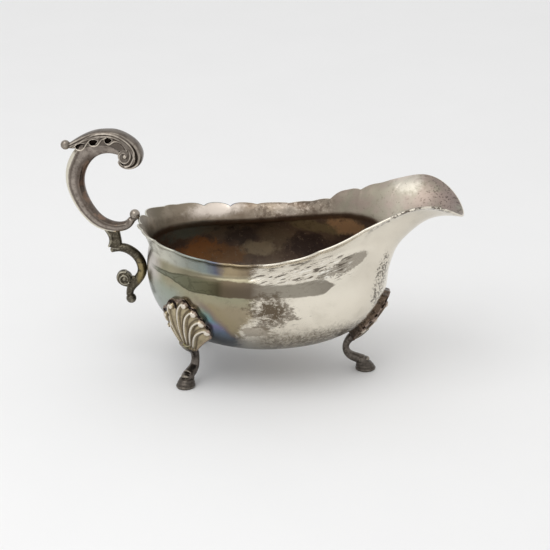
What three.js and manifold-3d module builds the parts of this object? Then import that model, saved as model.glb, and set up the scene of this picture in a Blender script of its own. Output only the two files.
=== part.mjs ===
// Silver sauce boat: a raised oval bowl with an everted, scalloped rim and a long pouring lip,
// a cast double scroll handle, and three cabriole legs with fluted shell knees.
// Millimetres, +X towards the lip, +Z up, the hooves stand on z = 0.
import * as THREE from 'three';
import { mergeVertices } from 'three/addons/utils/BufferGeometryUtils.js';
import Module from 'manifold-3d';

const wasm = await Module();
wasm.setup();

// Driving dimensions, in millimetres unless a line says otherwise
const WALL = 1.2;             // thickness of the bowl's sheet
const GAP = 0.3;              // clearance kept between soldered pieces
const CENTRE_SHIFT = 0.6;     // puts the middle of the whole length on the origin
const BELLY_CENTRE_X = -1.2;  // widest place of the belly
const BELLY_FRONT = 58.3;     // belly's reach towards the lip
const BELLY_BACK = 52.3;      // belly's reach towards the handle
const BELLY_HALF_WIDTH = 39.4;
const BELLY_HEIGHT = 49.3;
const BOWL_DEPTH = 33.8;      // from the belly's widest ring down to the underside
const BOTTOM_FULLNESS = 0.64; // 1 is a round bottom, less is a fuller and flatter one
const FLARE_PLACE = 0.42;     // where the flare's bend lies between crease and rim
const FLARE_LIFT = 0.18;      // how far the bend stands above the straight line, per length
const LOBE_PITCH = 13.2;      // length of one scallop along the rim
const LOBE_DEPTH = 1.1;
const LOBES_PER_SIDE = 10;
const LOBE_FADE = 3;          // lobes over which the scallops die out towards the lip
const LOBE_SHARPNESS = 0.6;   // less than 1 makes round lobes with sharp notches
const BOWL_SEGMENTS = 84;
const BOWL_STEPS = 13;
const BOWL_START = 0.004;     // where the lowest ring lies on the profile, beside the bottom's middle
const BOWL_CROWDING = 0.8;    // less than 1 puts more rings towards the rim
const SHELL_ROOT = 5;         // distance from the fan's centre to the shell's base
const SHELL_SPREAD = 0.87;    // half angle of the shell's fan, radians
const SHELL_CORNER_DROP = 0.46; // how much shorter the shell is at its corners than in its middle
const SHELL_POINT = 1.25;     // 1 is a straight-sided point, 2 a round top
const SHELL_FLUTES = 5;
const SHELL_THICKNESS = 1.5;
const SHELL_RELIEF = 1.3;     // height of the shell's ribs over its grooves
const SHELL_SCALLOP = 0.07;   // how much of its length the shell loses in each notch of its edge
const SHELL_HOLLOW = 1.5;     // above 1 brings the shell down onto the bowl in a hollow sweep
const STRUT_HALF_WIDTH = 2.2;

// Guide stations from the lip's tip round one side to the back: where each lies on the belly,
// in degrees, then the rim's and the neck crease's points there. The other side mirrors them.
const STATIONS = [
  { turn: 0, rim: [90.5, 0, 78.4], crease: [60.9, 0, 63.2] },
  { turn: 9.6, rim: [86.3, 12.4, 83.4], crease: [59, 6.6, 64.8] },
  { turn: 17, rim: [74, 20.8, 88.9], crease: [55.4, 11, 66.6] },
  { turn: 27, rim: [56.5, 24.4, 83.6], crease: [49, 16.4, 68.4] },
  { turn: 45, rim: [38, 31, 75.3], crease: [37, 24.6, 67.4] },
  { turn: 72, rim: [15, 37.9, 68], crease: [15, 33.7, 62.2] },
  { turn: 100, rim: [-12, 38.6, 66], crease: [-11, 34.6, 59] },
  { turn: 129, rim: [-36, 31.2, 68], crease: [-33, 28, 59.6] },
  { turn: 151.5, rim: [-51, 19, 70.2], crease: [-46, 17.5, 60.6] },
  { turn: 168, rim: [-57, 8.4, 71.7], crease: [-51.2, 7.6, 61] },
  { turn: 180, rim: [-57.4, 0, 72], crease: [-52.3, 0, 61.2] },
];

const silver = (color, roughness) => new THREE.MeshStandardMaterial({ color, roughness, metalness: 1 });
const silverPlate = () => silver(0xc9c4b8, 0.22);
const darkSilver = () => silver(0x7c746b, 0.35);

// ---- mesh helpers ----

function solidFrom(vertices, triangles) {
  const geometry = new THREE.BufferGeometry();
  const numbers = vertices.flatMap((v) => [v.x, v.y, v.z]);
  geometry.setAttribute('position', new THREE.Float32BufferAttribute(numbers, 3));
  let volume = 0;
  for (const [a, b, c] of triangles) {
    volume += vertices[a].dot(new THREE.Vector3().crossVectors(vertices[b], vertices[c]));
  }
  const facing = volume > 0 ? triangles : triangles.map(([a, b, c]) => [a, c, b]);
  geometry.setIndex(facing.flat());
  return geometry;
}

// A closed solid through a row of rings with the same number of points, with a fan over each end
function loft(rings) {
  const count = rings[0].length;
  const vertices = rings.flat();
  const triangles = [];
  for (let ring = 0; ring + 1 < rings.length; ring += 1) {
    for (let i = 0; i < count; i += 1) {
      const a = ring * count + i;
      const b = ring * count + (i + 1) % count;
      triangles.push([a, b, b + count], [a, b + count, a + count]);
    }
  }
  const last = (rings.length - 1) * count;
  for (const [start, flip] of [[0, true], [last, false]]) {
    const middle = new THREE.Vector3();
    for (let i = 0; i < count; i += 1) middle.addScaledVector(vertices[start + i], 1 / count);
    vertices.push(middle);
    const centre = vertices.length - 1;
    for (let i = 0; i < count; i += 1) {
      const a = start + i;
      const b = start + (i + 1) % count;
      triangles.push(flip ? [centre, b, a] : [centre, a, b]);
    }
  }
  return solidFrom(vertices, triangles);
}

// A closed slab between two grids of points, the lower one under the upper one point for point
function slab(upper, lower) {
  const rows = upper.length;
  const columns = upper[0].length;
  const vertices = [...upper.flat(), ...lower.flat()];
  const triangles = [];
  const quad = (a, b, c, d) => triangles.push([a, b, c], [a, c, d]);
  const under = rows * columns;
  for (let row = 0; row + 1 < rows; row += 1) {
    for (let column = 0; column + 1 < columns; column += 1) {
      const at = row * columns + column;
      quad(at, at + 1, at + columns + 1, at + columns);
      quad(under + at, under + at + columns, under + at + columns + 1, under + at + 1);
    }
  }
  const edge = [];
  for (let column = 0; column < columns; column += 1) edge.push(column);
  for (let row = 1; row < rows; row += 1) edge.push(row * columns + columns - 1);
  for (let column = columns - 2; column >= 0; column -= 1) edge.push((rows - 1) * columns + column);
  for (let row = rows - 2; row > 0; row -= 1) edge.push(row * columns);
  edge.forEach((a, i) => {
    const b = edge[(i + 1) % edge.length];
    quad(a, under + a, under + b, b);
  });
  return solidFrom(vertices, triangles);
}

function toManifold(geometry) {
  const bare = new THREE.BufferGeometry();
  bare.setAttribute('position', geometry.getAttribute('position').clone());
  if (geometry.index) bare.setIndex(geometry.index.clone());
  const merged = mergeVertices(bare, 1e-4);
  const mesh = new wasm.Mesh({
    numProp: 3,
    vertProperties: new Float32Array(merged.getAttribute('position').array),
    triVerts: new Uint32Array(merged.index.array),
  });
  return new wasm.Manifold(mesh);
}

// The largest body of a manifold as a geometry
function fromManifold(manifold) {
  const bodies = manifold.decompose();
  bodies.sort((a, b) => b.volume() - a.volume());
  const mesh = bodies[0].getMesh();
  const geometry = new THREE.BufferGeometry();
  geometry.setAttribute('position', new THREE.Float32BufferAttribute(mesh.vertProperties, 3));
  geometry.setIndex(Array.from(mesh.triVerts));
  return geometry;
}

const cut = (geometry, ...tools) => fromManifold(tools.reduce(
  (body, tool) => body.subtract(toManifold(tool)), toManifold(geometry)));
const join = (...geometries) => fromManifold(geometries.map(toManifold).reduce((a, b) => a.add(b)));

// ---- bowl ----

function closedRing(pointAtStation) {
  const side = STATIONS.map(pointAtStation);
  const mirrored = side.slice(1, -1).reverse().map((p) => new THREE.Vector3(p.x, -p.y, p.z));
  return new THREE.CatmullRomCurve3([...side, ...mirrored], true, 'centripetal');
}

function bellyRing(dip) {
  const narrowing = Math.cos(dip) ** BOTTOM_FULLNESS;
  return closedRing(({ turn }) => {
    const angle = THREE.MathUtils.degToRad(turn);
    const reach = turn < 90 ? BELLY_FRONT : BELLY_BACK;
    return new THREE.Vector3(
      BELLY_CENTRE_X + reach * Math.cos(angle) * narrowing,
      BELLY_HALF_WIDTH * Math.sin(angle) * narrowing,
      BELLY_HEIGHT - BOWL_DEPTH * Math.sin(dip));
  });
}

const rimRing = closedRing(({ rim }) => new THREE.Vector3(...rim));
const creaseRing = closedRing(({ crease }) => new THREE.Vector3(...crease));
const flareRing = closedRing(({ rim, crease }) => {
  const low = new THREE.Vector3(...crease);
  const high = new THREE.Vector3(...rim);
  const bend = low.clone().lerp(high, FLARE_PLACE);
  bend.z += FLARE_LIFT * low.distanceTo(high);
  return bend;
});
const GUIDE_RINGS = [
  ...[89.5, 78, 60, 40, 20, 0].map((dip) => bellyRing(THREE.MathUtils.degToRad(dip))),
  creaseRing, flareRing, rimRing];
const RIM_LENGTH = rimRing.getLength();

// How far the scalloped edge is cut back at a distance from the rim's back middle
function scallop(distance) {
  const lobes = Math.abs(distance) / LOBE_PITCH + 0.5;
  if (lobes > LOBES_PER_SIDE) return 0;
  const arch = Math.abs(Math.sin(Math.PI * lobes));
  const fade = Math.min(1, (LOBES_PER_SIDE - lobes) / LOBE_FADE);
  return LOBE_DEPTH * (1 - arch ** LOBE_SHARPNESS) * fade;
}

// The bowl's outer surface: round is 0 to 1 along the rim's length, rise is 0 at the bottom to 1 at the rim
function bowlProfile(round) {
  const turn = rimRing.getUtoTmapping(round - Math.floor(round));
  const points = GUIDE_RINGS.map((ring) => ring.getPoint(turn));
  const edge = points[points.length - 1];
  const inward = points[points.length - 2].clone().sub(edge).normalize();
  edge.addScaledVector(inward, scallop((round - Math.floor(round) - 0.5) * RIM_LENGTH));
  return new THREE.CatmullRomCurve3(points, false, 'centripetal');
}

const bowlPoint = (round, rise) => bowlProfile(round).getPoint(rise);

function bowlNormal(round, rise) {
  const step = 1e-3;
  const low = Math.max(rise - step, 0);
  const along = bowlPoint(round, Math.min(rise + step, 1)).sub(bowlPoint(round, low));
  const around = bowlPoint(round + step, rise).sub(bowlPoint(round - step, rise));
  return around.cross(along).normalize();
}

function bowlRings(offset, directionUp) {
  const rings = [];
  for (let step = 0; step <= BOWL_STEPS; step += 1) {
    const rise = BOWL_START + (1 - BOWL_START) * (step / BOWL_STEPS) ** BOWL_CROWDING;
    const ring = [];
    for (let i = 0; i < BOWL_SEGMENTS; i += 1) {
      const round = i / BOWL_SEGMENTS;
      ring.push(bowlPoint(round, rise).addScaledVector(bowlNormal(round, rise), offset));
    }
    rings.push(ring);
  }
  return directionUp ? rings : rings.reverse();
}

const bowlGeometry = () => loft([...bowlRings(0, true), ...bowlRings(-WALL, false)]);
const bowlClearance = loft(bowlRings(GAP, true));

// ---- pieces swept along a curve in the vertical middle plane ----

// knots are [x, z, half thickness in the plane, half width across it]
function sweep(knots, steps, sides, grow = 0) {
  const centres = knots.map(([x, z]) => new THREE.Vector3(x, 0, z));
  const path = new THREE.CatmullRomCurve3(centres, false, 'centripetal');
  const sizes = knots.map(([, , thick, wide], i) => new THREE.Vector3(i, thick, wide));
  const size = new THREE.CatmullRomCurve3(sizes, false, 'catmullrom', 0.5);
  const across = new THREE.Vector3(0, 1, 0);
  const rings = [];
  for (let step = 0; step <= steps; step += 1) {
    const place = step / steps;
    const centre = path.getPoint(place);
    const tangent = path.getTangent(place);
    const normal = new THREE.Vector3().crossVectors(across, tangent).normalize();
    const { y: thick, z: wide } = size.getPoint(place);
    const ring = [];
    for (let i = 0; i < sides; i += 1) {
      const angle = 2 * Math.PI * i / sides;
      ring.push(centre.clone()
        .addScaledVector(normal, (thick + grow) * Math.cos(angle))
        .addScaledVector(across, (wide + grow) * Math.sin(angle)));
    }
    rings.push(ring);
  }
  return loft(rings);
}

function ball({ x, z, radius }, grow = 0) {
  const sphere = new THREE.SphereGeometry(radius + grow, 12, 9);
  sphere.translate(x, 0, z);
  return sphere;
}

// The large C scroll, from the ball at the rim, down, round and up to its end under the leaf
const MAIN_SCROLL = [
  [-60.2, 71.2, 1.7, 1.8], [-62.6, 68.5, 2.0, 2.0], [-67.4, 67.4, 2.3, 2.3], [-73.9, 69.1, 2.8, 2.6],
  [-79.4, 73.8, 3.3, 2.9], [-84, 81.8, 3.8, 3.2], [-85.7, 89.8, 4.3, 3.4], [-84.4, 96.8, 4.6, 3.4],
  [-80.6, 102.8, 4.6, 3.3], [-75, 106.5, 4.6, 3.2], [-68.6, 107.1, 4.4, 3.1], [-63.2, 105, 3.6, 2.7],
];
const MAIN_BALL = { x: -59.7, z: 73.5, radius: 2.2 };
const mainScroll = (grow = 0) => join(sweep(MAIN_SCROLL, 36, 12, grow), ball(MAIN_BALL, grow));

// The cast leaf over the scroll's top, which curls under into a volute
const LEAF = [
  [-88.4, 105.2, 1.6, 1.5], [-84.8, 106.4, 2.2, 2.5], [-79.6, 108.4, 3.1, 3.5], [-73.4, 109.9, 3.7, 4.0],
  [-66.8, 109.9, 4.1, 4.2], [-61.1, 107.2, 4.4, 4.3], [-58.2, 102.7, 4.1, 4.3], [-59.4, 99, 3.4, 4.1],
  [-62.4, 99, 2.6, 3.8],
];
const LEAF_VOLUTE = { x: -61.6, z: 101.4, radius: 3.4, width: 7.6 };
const LEAF_BALL = { x: -89.6, z: 106.2, radius: 2.2 };

// The core of a volute: a short cylinder that lies across
function volute({ x, z, radius, width }) {
  const core = new THREE.CylinderGeometry(radius, radius, width, 16);
  core.translate(x, 0, z);
  return core;
}

function leafCap() {
  return cut(join(sweep(LEAF, 24, 12), volute(LEAF_VOLUTE), ball(LEAF_BALL)), mainScroll(GAP));
}

// The bracket between the two scrolls: a flat casting with a waist and two small spurs
function strut() {
  const outline = new THREE.Shape();
  outline.moveTo(-72.6, 67.3);
  outline.quadraticCurveTo(-69.4, 63.4, -70.2, 60.2);
  outline.lineTo(-72, 56.8);
  outline.lineTo(-66.6, 56.4);
  outline.lineTo(-64.6, 59.2);
  outline.quadraticCurveTo(-65.8, 62.2, -64.6, 67.3);
  outline.closePath();
  const depth = 2 * STRUT_HALF_WIDTH;
  const plate = new THREE.ExtrudeGeometry(outline, { depth, bevelEnabled: false, curveSegments: 6 });
  plate.rotateX(Math.PI / 2);
  plate.translate(0, STRUT_HALF_WIDTH, 0);
  return cut(plate, mainScroll(GAP), sweep(LOWER_SCROLL, 26, 10, GAP));
}

// The small scroll that leans on the back of the bowl, with its own volute and a hooked bud
const LOWER_SCROLL = [
  [-70.4, 55.4, 1.0, 1.3], [-66, 57.2, 2.0, 2.1], [-61.8, 56, 2.2, 2.3], [-58.5, 52.5, 2.2, 2.4],
  [-57, 48.2, 2.2, 2.4], [-57.4, 44.4, 2.1, 2.3], [-59.6, 40.4, 2.0, 2.2], [-61.9, 36.6, 1.8, 2.0],
  [-62.6, 33.2, 1.5, 1.7],
];

const LOWER_VOLUTE = { x: -64, z: 41.6, radius: 3.5, width: 4.8 };
const LOWER_BUD = { x: -62.2, z: 32, radius: 2.1 };

function lowerScroll() {
  return cut(join(sweep(LOWER_SCROLL, 26, 10), volute(LOWER_VOLUTE), ball(LOWER_BUD)), bowlClearance);
}

// ---- shell knees and legs ----

// The place on the bowl that lies a distance up the outer surface from the underside's middle
const bowlRise = (round, distance) => bowlProfile(round).getUtoTmapping(0, distance);

// A shell spread like a fan up the bowl's outer surface. Its base stands off the bowl at the knee,
// its scalloped top edge lies on the bowl.
function shellKnee({ round, distance, length, standoff, tilt }) {
  const step = 1e-3;
  const rows = 7;
  const columns = 4 * SHELL_FLUTES;
  const upper = [];
  const lower = [];
  for (let row = 0; row <= rows; row += 1) {
    const part = row / rows;
    const topLine = [];
    const underLine = [];
    for (let column = 0; column <= columns; column += 1) {
      const side = 2 * column / columns - 1;
      const ridge = 0.5 - 0.5 * Math.cos(Math.PI * SHELL_FLUTES * (side + 1));
      const shortening = SHELL_CORNER_DROP * Math.abs(side) ** SHELL_POINT;
      const reach = length * (1 - shortening) * (1 - SHELL_SCALLOP * ridge);
      const radius = SHELL_ROOT + (reach - SHELL_ROOT) * part;
      const angle = SHELL_SPREAD * side + tilt;
      const along = distance - SHELL_ROOT + radius * Math.cos(angle);
      const middleRise = bowlRise(round, along);
      const rate = bowlPoint(round + step, middleRise).distanceTo(bowlPoint(round, middleRise)) / step;
      const there = round + radius * Math.sin(angle) / rate;
      const rise = bowlRise(there, along);
      const onBowl = bowlPoint(there, rise);
      const outward = bowlNormal(there, rise);
      const clear = standoff * (1 - part) ** SHELL_HOLLOW;
      const height = clear + SHELL_THICKNESS + SHELL_RELIEF * (1 - ridge);
      underLine.push(onBowl.clone().addScaledVector(outward, GAP));
      topLine.push(onBowl.addScaledVector(outward, GAP + height));
    }
    upper.push(topLine);
    lower.push(underLine);
  }
  return slab(upper, lower);
}

// The leg in its own vertical plane: x is the distance out from the leg frame's origin
const LEG = [
  [0.4, 21.8, 2.4, 3.6], [-3, 19, 2.5, 3.4], [-6.6, 16.2, 2.2, 2.8], [-8.8, 12.4, 1.4, 1.7],
  [-8.1, 9.4, 1.4, 1.6], [-6, 7.2, 1.8, 2.0], [-3, 5.6, 2.2, 2.5], [-0.4, 4.8, 2.3, 2.5],
];
// hoof rings from the sole up: [middle, height, half length, half width]
const HOOF = [
  [0.4, 0, 4.6, 4.2], [0.5, 1.6, 4.7, 4.3], [0.1, 3.4, 4.2, 3.8], [-1, 5.2, 3.4, 3.2], [-1.9, 6.8, 2.4, 2.5],
];
const HOOF_SIDES = 16;

function legGeometry({ azimuth, x, y }, grow = 0) {
  const hoof = loft(HOOF.map(([middle, height, long, wide]) => {
    const ring = [];
    for (let i = 0; i < HOOF_SIDES; i += 1) {
      const angle = 2 * Math.PI * i / HOOF_SIDES;
      ring.push(new THREE.Vector3(middle + long * Math.cos(angle), wide * Math.sin(angle), height));
    }
    return ring;
  }));
  const leg = join(sweep(LEG, 20, 10, grow), hoof);
  leg.rotateZ(azimuth);
  leg.translate(x, y, 0);
  return cut(leg, bowlClearance);
}

// Where each leg stands, and its shell: its place round the bowl and up its outer surface, its length
// from the fan's centre to the tip, how far the base stands off, and how far the fan leans
const REAR = {
  x: -33.2, y: 25.5, azimuth: 2.03, round: 0.412, distance: 38, length: 31, standoff: 4.4, tilt: -0.17,
};
const FRONT = { x: 47.2, y: 0, azimuth: 0, round: 0, distance: 43, length: 31, standoff: 3.2, tilt: 0 };
const LEG_PLACES = {
  front: FRONT,
  rear_left: REAR,
  rear_right: { ...REAR, y: -REAR.y, azimuth: -REAR.azimuth, round: 1 - REAR.round, tilt: -REAR.tilt },
};

// ---- the assembly ----

const sauceBoat = new THREE.Group();
sauceBoat.position.x = CENTRE_SHIFT;

function addPiece(name, geometry, material) {
  const mesh = new THREE.Mesh(geometry, material);
  mesh.name = name;
  sauceBoat.add(mesh);
}

addPiece('bowl', bowlGeometry(), silverPlate());
addPiece('handle_main_scroll', cut(mainScroll(), bowlClearance), darkSilver());
addPiece('handle_leaf', leafCap(), darkSilver());
addPiece('handle_strut', strut(), darkSilver());
addPiece('handle_lower_scroll', lowerScroll(), darkSilver());
for (const [name, place] of Object.entries(LEG_PLACES)) {
  addPiece(`${name}_shell`, cut(shellKnee(place), legGeometry(place, GAP)), darkSilver());
  addPiece(`${name}_leg`, legGeometry(place), darkSilver());
}

export default sauceBoat;
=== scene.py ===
# Looks of a silver-plated sauce boat: a hand-raised bowl with a scalloped, flared rim, a cast double scroll
# handle, and three cabriole legs with shell knees. Shapes are worked out in millimetres and stored in metres.
import math

import bpy
import numpy as np
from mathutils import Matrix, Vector
from mathutils.kdtree import KDTree


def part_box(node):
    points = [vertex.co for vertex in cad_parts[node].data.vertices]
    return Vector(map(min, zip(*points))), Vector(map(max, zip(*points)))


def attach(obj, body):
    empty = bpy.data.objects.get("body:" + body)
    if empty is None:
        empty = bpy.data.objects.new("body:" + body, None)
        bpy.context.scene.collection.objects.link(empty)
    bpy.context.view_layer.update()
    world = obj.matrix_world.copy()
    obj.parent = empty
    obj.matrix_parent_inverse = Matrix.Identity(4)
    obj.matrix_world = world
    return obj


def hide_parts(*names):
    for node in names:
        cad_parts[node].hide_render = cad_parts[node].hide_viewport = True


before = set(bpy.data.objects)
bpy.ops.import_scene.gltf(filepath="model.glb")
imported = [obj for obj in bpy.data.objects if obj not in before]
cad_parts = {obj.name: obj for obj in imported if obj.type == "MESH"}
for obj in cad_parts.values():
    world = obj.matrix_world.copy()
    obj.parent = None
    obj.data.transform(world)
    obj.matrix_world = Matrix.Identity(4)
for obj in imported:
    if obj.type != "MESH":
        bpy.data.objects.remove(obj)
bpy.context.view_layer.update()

MM = 0.001

# ---- driving dimensions, in millimetres ----

WALL = 1.2                # the bowl's sheet
RIM_WALL = 0.9            # the sheet where it thins out at the rim
BELLY_CENTRE_X = -1.2
BELLY_FRONT = 58.3
BELLY_BACK = 52.3
BELLY_HALF_WIDTH = 39.4
BELLY_HEIGHT = 49.3
BOWL_DEPTH = 33.8
BOTTOM_FULLNESS = 0.64    # less makes the underside rounder, more makes it pointed
# the underside's rings, as shares of the belly's width
BELLY_WIDTHS = (0, 0.15, 0.3, 0.45, 0.6, 0.72, 0.82, 0.9, 0.96, 0.99, 1)
FLARE_PLACE = 0.42        # where the flare's section has its middle point, as a share of its length
FLARE_LIFT = 0.18         # how far that point bows up, as a share of the flare's length
LIP_REACH = 90.5          # the lip's tip in the stations' frame

# Stations from the lip's tip round the left side to the back: degrees on the belly, the rim's point and the
# neck's point
STATIONS = (
    (0, (90.5, 0, 78.4), (60.9, 0, 63.2)),
    (9.6, (86.3, 12.4, 83.4), (59, 6.6, 64.8)),
    (17, (74, 20.8, 88.9), (55.4, 11, 66.6)),
    (27, (56.5, 24.4, 83.6), (49, 16.4, 68.4)),
    (45, (38, 31, 75.3), (37, 24.6, 67.4)),
    (72, (15, 37.9, 68), (15, 33.7, 62.2)),
    (100, (-12, 38.6, 66), (-11, 34.6, 59)),
    (129, (-36, 31.2, 68), (-33, 28, 59.6)),
    (151.5, (-51, 19, 70.2), (-46, 17.5, 60.6)),
    (168, (-57, 8.4, 71.7), (-51.2, 7.6, 61)),
    (180, (-57.4, 0, 72), (-52.3, 0, 61.2)),
)

# The cusps between the rim's scallops: distance along the rim from the back's middle, and depth of the cut
LEFT_CUSPS = (
    (6.5, 3.0), (23.3, 0.7), (30.9, 0.5), (44.6, 2.0), (57.9, 2.1), (71.1, 1.2), (86.9, 1.1), (108.2, 2.2),
    (125.3, 1.9), (150, 0.2))
RIGHT_CUSPS = (
    (6.5, 1.6), (13.7, 0.8), (25, 1.0), (38, 1.1), (54.1, 1.1), (66.2, 1.0), (77.2, 0.9), (92, 1.2),
    (106.7, 1.4), (129.8, 0.6), (150, 0.2))

# where the left side's rim stands higher: distance from the back's middle, height, spread
RIM_LIFTS = ((113.5, 1.7, 4.5), (120.5, 1.6, 4.5), (130, 1.5, 5.5), (140, 0.7, 6), (98, -0.7, 4))

SIDES_FINE = 640          # columns round the rim
LOW_ROWS = 240            # rows of the section from the underside's middle up to the neck
HIGH_ROWS = 120           # rows of the section from the neck up to the rim
NECK_ROUNDING = 0.085     # rounding of the neck's crease, as a share of the flare's length
FOLD_DEPTH = 0.55         # how deep the sheet folds in below a cusp
HAMMERING = 0.16          # how far the raised sheet waves in and out
WAVE_SIZES = (34, 27, 19, 14)
WAVES_EACH = 3


# ---- curves ----

def spline(knots, values, closed=False):
    """A curve with continuous curvature through values, one row for each knot. A closed one ends where it
    starts."""
    knots = np.asarray(knots, float)
    values = np.asarray(values, float)
    gap = np.diff(knots)
    slope = np.diff(values, axis=0) / gap[:, None]
    last = len(knots) - 1
    system = np.eye(last + 1)
    right = np.zeros((last + 1, values.shape[1]))
    for i in range(0 if closed else 1, last):
        system[i, i - 1 if i else last - 1] = gap[i - 1]
        system[i, i] = 2 * (gap[i - 1] + gap[i])
        system[i, i + 1] = gap[i]
        right[i] = 6 * (slope[i] - slope[i - 1])
    if closed:
        system[last, 0] = -1
    bend = np.linalg.solve(system, right)

    def at(t):
        i = np.clip(np.searchsorted(knots, t, "right") - 1, 0, last - 1)
        h = gap[i][:, None]
        a = (knots[i + 1] - t)[:, None] / h
        b = 1 - a
        return (a * values[i] + b * values[i + 1]
                + ((a ** 3 - a) * bend[i] + (b ** 3 - b) * bend[i + 1]) * h ** 2 / 6)

    return at


def chords(points):
    """Knots spaced by the square root of the points' distances, which keeps a spline calm."""
    steps = np.linalg.norm(np.diff(points, axis=0), axis=1) ** 0.5
    return np.concatenate([[0], np.cumsum(steps)])


def arc(points):
    """The distance along a row of points, from the first."""
    steps = np.linalg.norm(np.diff(points, axis=0), axis=1)
    return np.concatenate([[0], np.cumsum(steps)])


def directions(points):
    """The unit direction of travel at each point of a row."""
    step = np.gradient(points, axis=0)
    return step / np.linalg.norm(step, axis=1, keepdims=True)


def circle(sides):
    return 2 * math.pi * np.arange(sides) / sides


def bell(distance, width):
    return np.exp(-(distance / width) ** 2)


def smooth(low, high, value):
    """A smooth step from 0 at low to 1 at high."""
    t = np.clip((np.asarray(value, float) - low) / (high - low), 0, 1)
    return t * t * (3 - 2 * t)


# ---- the bowl's surface ----

def ring_points(side):
    """The stations' points right round: the left side from lip to back, then its mirror."""
    side = np.asarray(side, float)
    return np.vstack([side, side[-2:0:-1] * (1, -1, 1), side[:1]])


RIM = ring_points([rim for turn, rim, neck in STATIONS])
NECK = ring_points([neck for turn, rim, neck in STATIONS])


def belly_ring(width):
    """The belly's ring where it is width times as wide as at its widest."""
    dip = math.acos(width ** (1 / BOTTOM_FULLNESS))
    points = []
    for turn, rim, neck in STATIONS:
        angle = math.radians(turn)
        forward = math.cos(angle)
        middle = (BELLY_FRONT + BELLY_BACK) / 2
        reach = middle + (BELLY_FRONT - BELLY_BACK) / 2 * forward * (1.5 - 0.5 * forward ** 2)
        points.append((BELLY_CENTRE_X + reach * forward * width,
                       BELLY_HALF_WIDTH * math.sin(angle) * width,
                       BELLY_HEIGHT - BOWL_DEPTH * math.sin(dip)))
    return ring_points(points)


def flare_ring():
    bend = NECK + FLARE_PLACE * (RIM - NECK)
    bend[:, 2] += FLARE_LIFT * np.linalg.norm(RIM - NECK, axis=1)
    return bend


RING_KNOTS = (chords(RIM) + chords(belly_ring(1))) / 2
RIM_CURVE = spline(RING_KNOTS, RIM, closed=True)
RIM_TURNS = np.linspace(0, RING_KNOTS[-1], 4001)
RIM_ARC = arc(RIM_CURVE(RIM_TURNS))
RIM_LENGTH = RIM_ARC[-1]


def ring_at(points, turns):
    return spline(RING_KNOTS, points, closed=True)(turns)


def cut_back(from_back):
    """How far each column's rim is cut back, and 0 at a cusp to 1 in a scallop's middle."""
    depth = np.zeros_like(from_back)
    arch = np.ones_like(from_back)
    for sign, cusps in ((1, LEFT_CUSPS), (-1, RIGHT_CUSPS)):
        where = np.array([-cusps[0][0]] + [c[0] for c in cusps])
        deep = np.array([cusps[0][1]] + [c[1] for c in cusps])
        on_side = from_back * sign >= 0
        distance = np.abs(from_back)
        i = np.clip(np.searchsorted(where, distance, "right") - 1, 0, len(where) - 2)
        part = np.clip((distance - where[i]) / (where[i + 1] - where[i]), 0, 1)
        bow = np.sin(math.pi * part) ** 0.6
        local = (1 - part) * deep[i] + part * deep[i + 1]
        past = distance > where[-1]
        depth = np.where(on_side, np.where(past, 0, local * (1 - bow)), depth)
        arch = np.where(on_side, np.where(past, 1, 1 - (1 - bow) * np.minimum(local, 1)), arch)
    return depth, arch


def wobble(places):
    """The slight unevenness of a hand-raised bowl, as waves of four sizes in random directions."""
    rng = np.random.default_rng(7)
    total = np.zeros(places.shape[:-1])
    for size in WAVE_SIZES:
        for _ in range(WAVES_EACH):
            direction = rng.normal(size=3)
            direction /= np.linalg.norm(direction)
            phase = rng.uniform(0, 2 * math.pi)
            total += size * np.sin(2 * math.pi * (places @ direction) / size + phase)
    return total / (WAVES_EACH * len(WAVE_SIZES) * WAVE_SIZES[0])


def normals_of(grid):
    """Outward normals of a grid of points, rows up the profile and columns round."""
    around = np.roll(grid, -1, axis=1) - np.roll(grid, 1, axis=1)
    up = np.gradient(grid, axis=0)
    up[0] = up[1]
    normal = np.cross(around, up)
    normal /= np.maximum(np.linalg.norm(normal, axis=2, keepdims=True), 1e-9)
    return normal


def section_lines(columns):
    """The bowl's section at each column, in close rows from the underside's middle to the rim."""
    turns = np.interp(np.arange(columns) / columns * RIM_LENGTH, RIM_ARC, RIM_TURNS)
    neck = ring_at(NECK, turns)
    body_points = np.stack([ring_at(belly_ring(width), turns) for width in BELLY_WIDTHS] + [neck])
    flare_points = np.stack([neck, ring_at(flare_ring(), turns), RIM_CURVE(turns)])
    body_gaps = np.linalg.norm(np.diff(body_points, axis=0), axis=2).mean(axis=1)
    body_knots = np.concatenate([[0], np.cumsum(body_gaps)])
    body = spline(body_knots, body_points.reshape(len(body_points), -1))
    flare = spline([0, FLARE_PLACE, 1], flare_points.reshape(3, -1))
    low = body(np.linspace(0, body_knots[-1], LOW_ROWS)).reshape(LOW_ROWS, columns, 3)
    high = flare(np.linspace(0, 1, HIGH_ROWS)).reshape(HIGH_ROWS, columns, 3)
    return np.concatenate([low, high[1:]])


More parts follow.
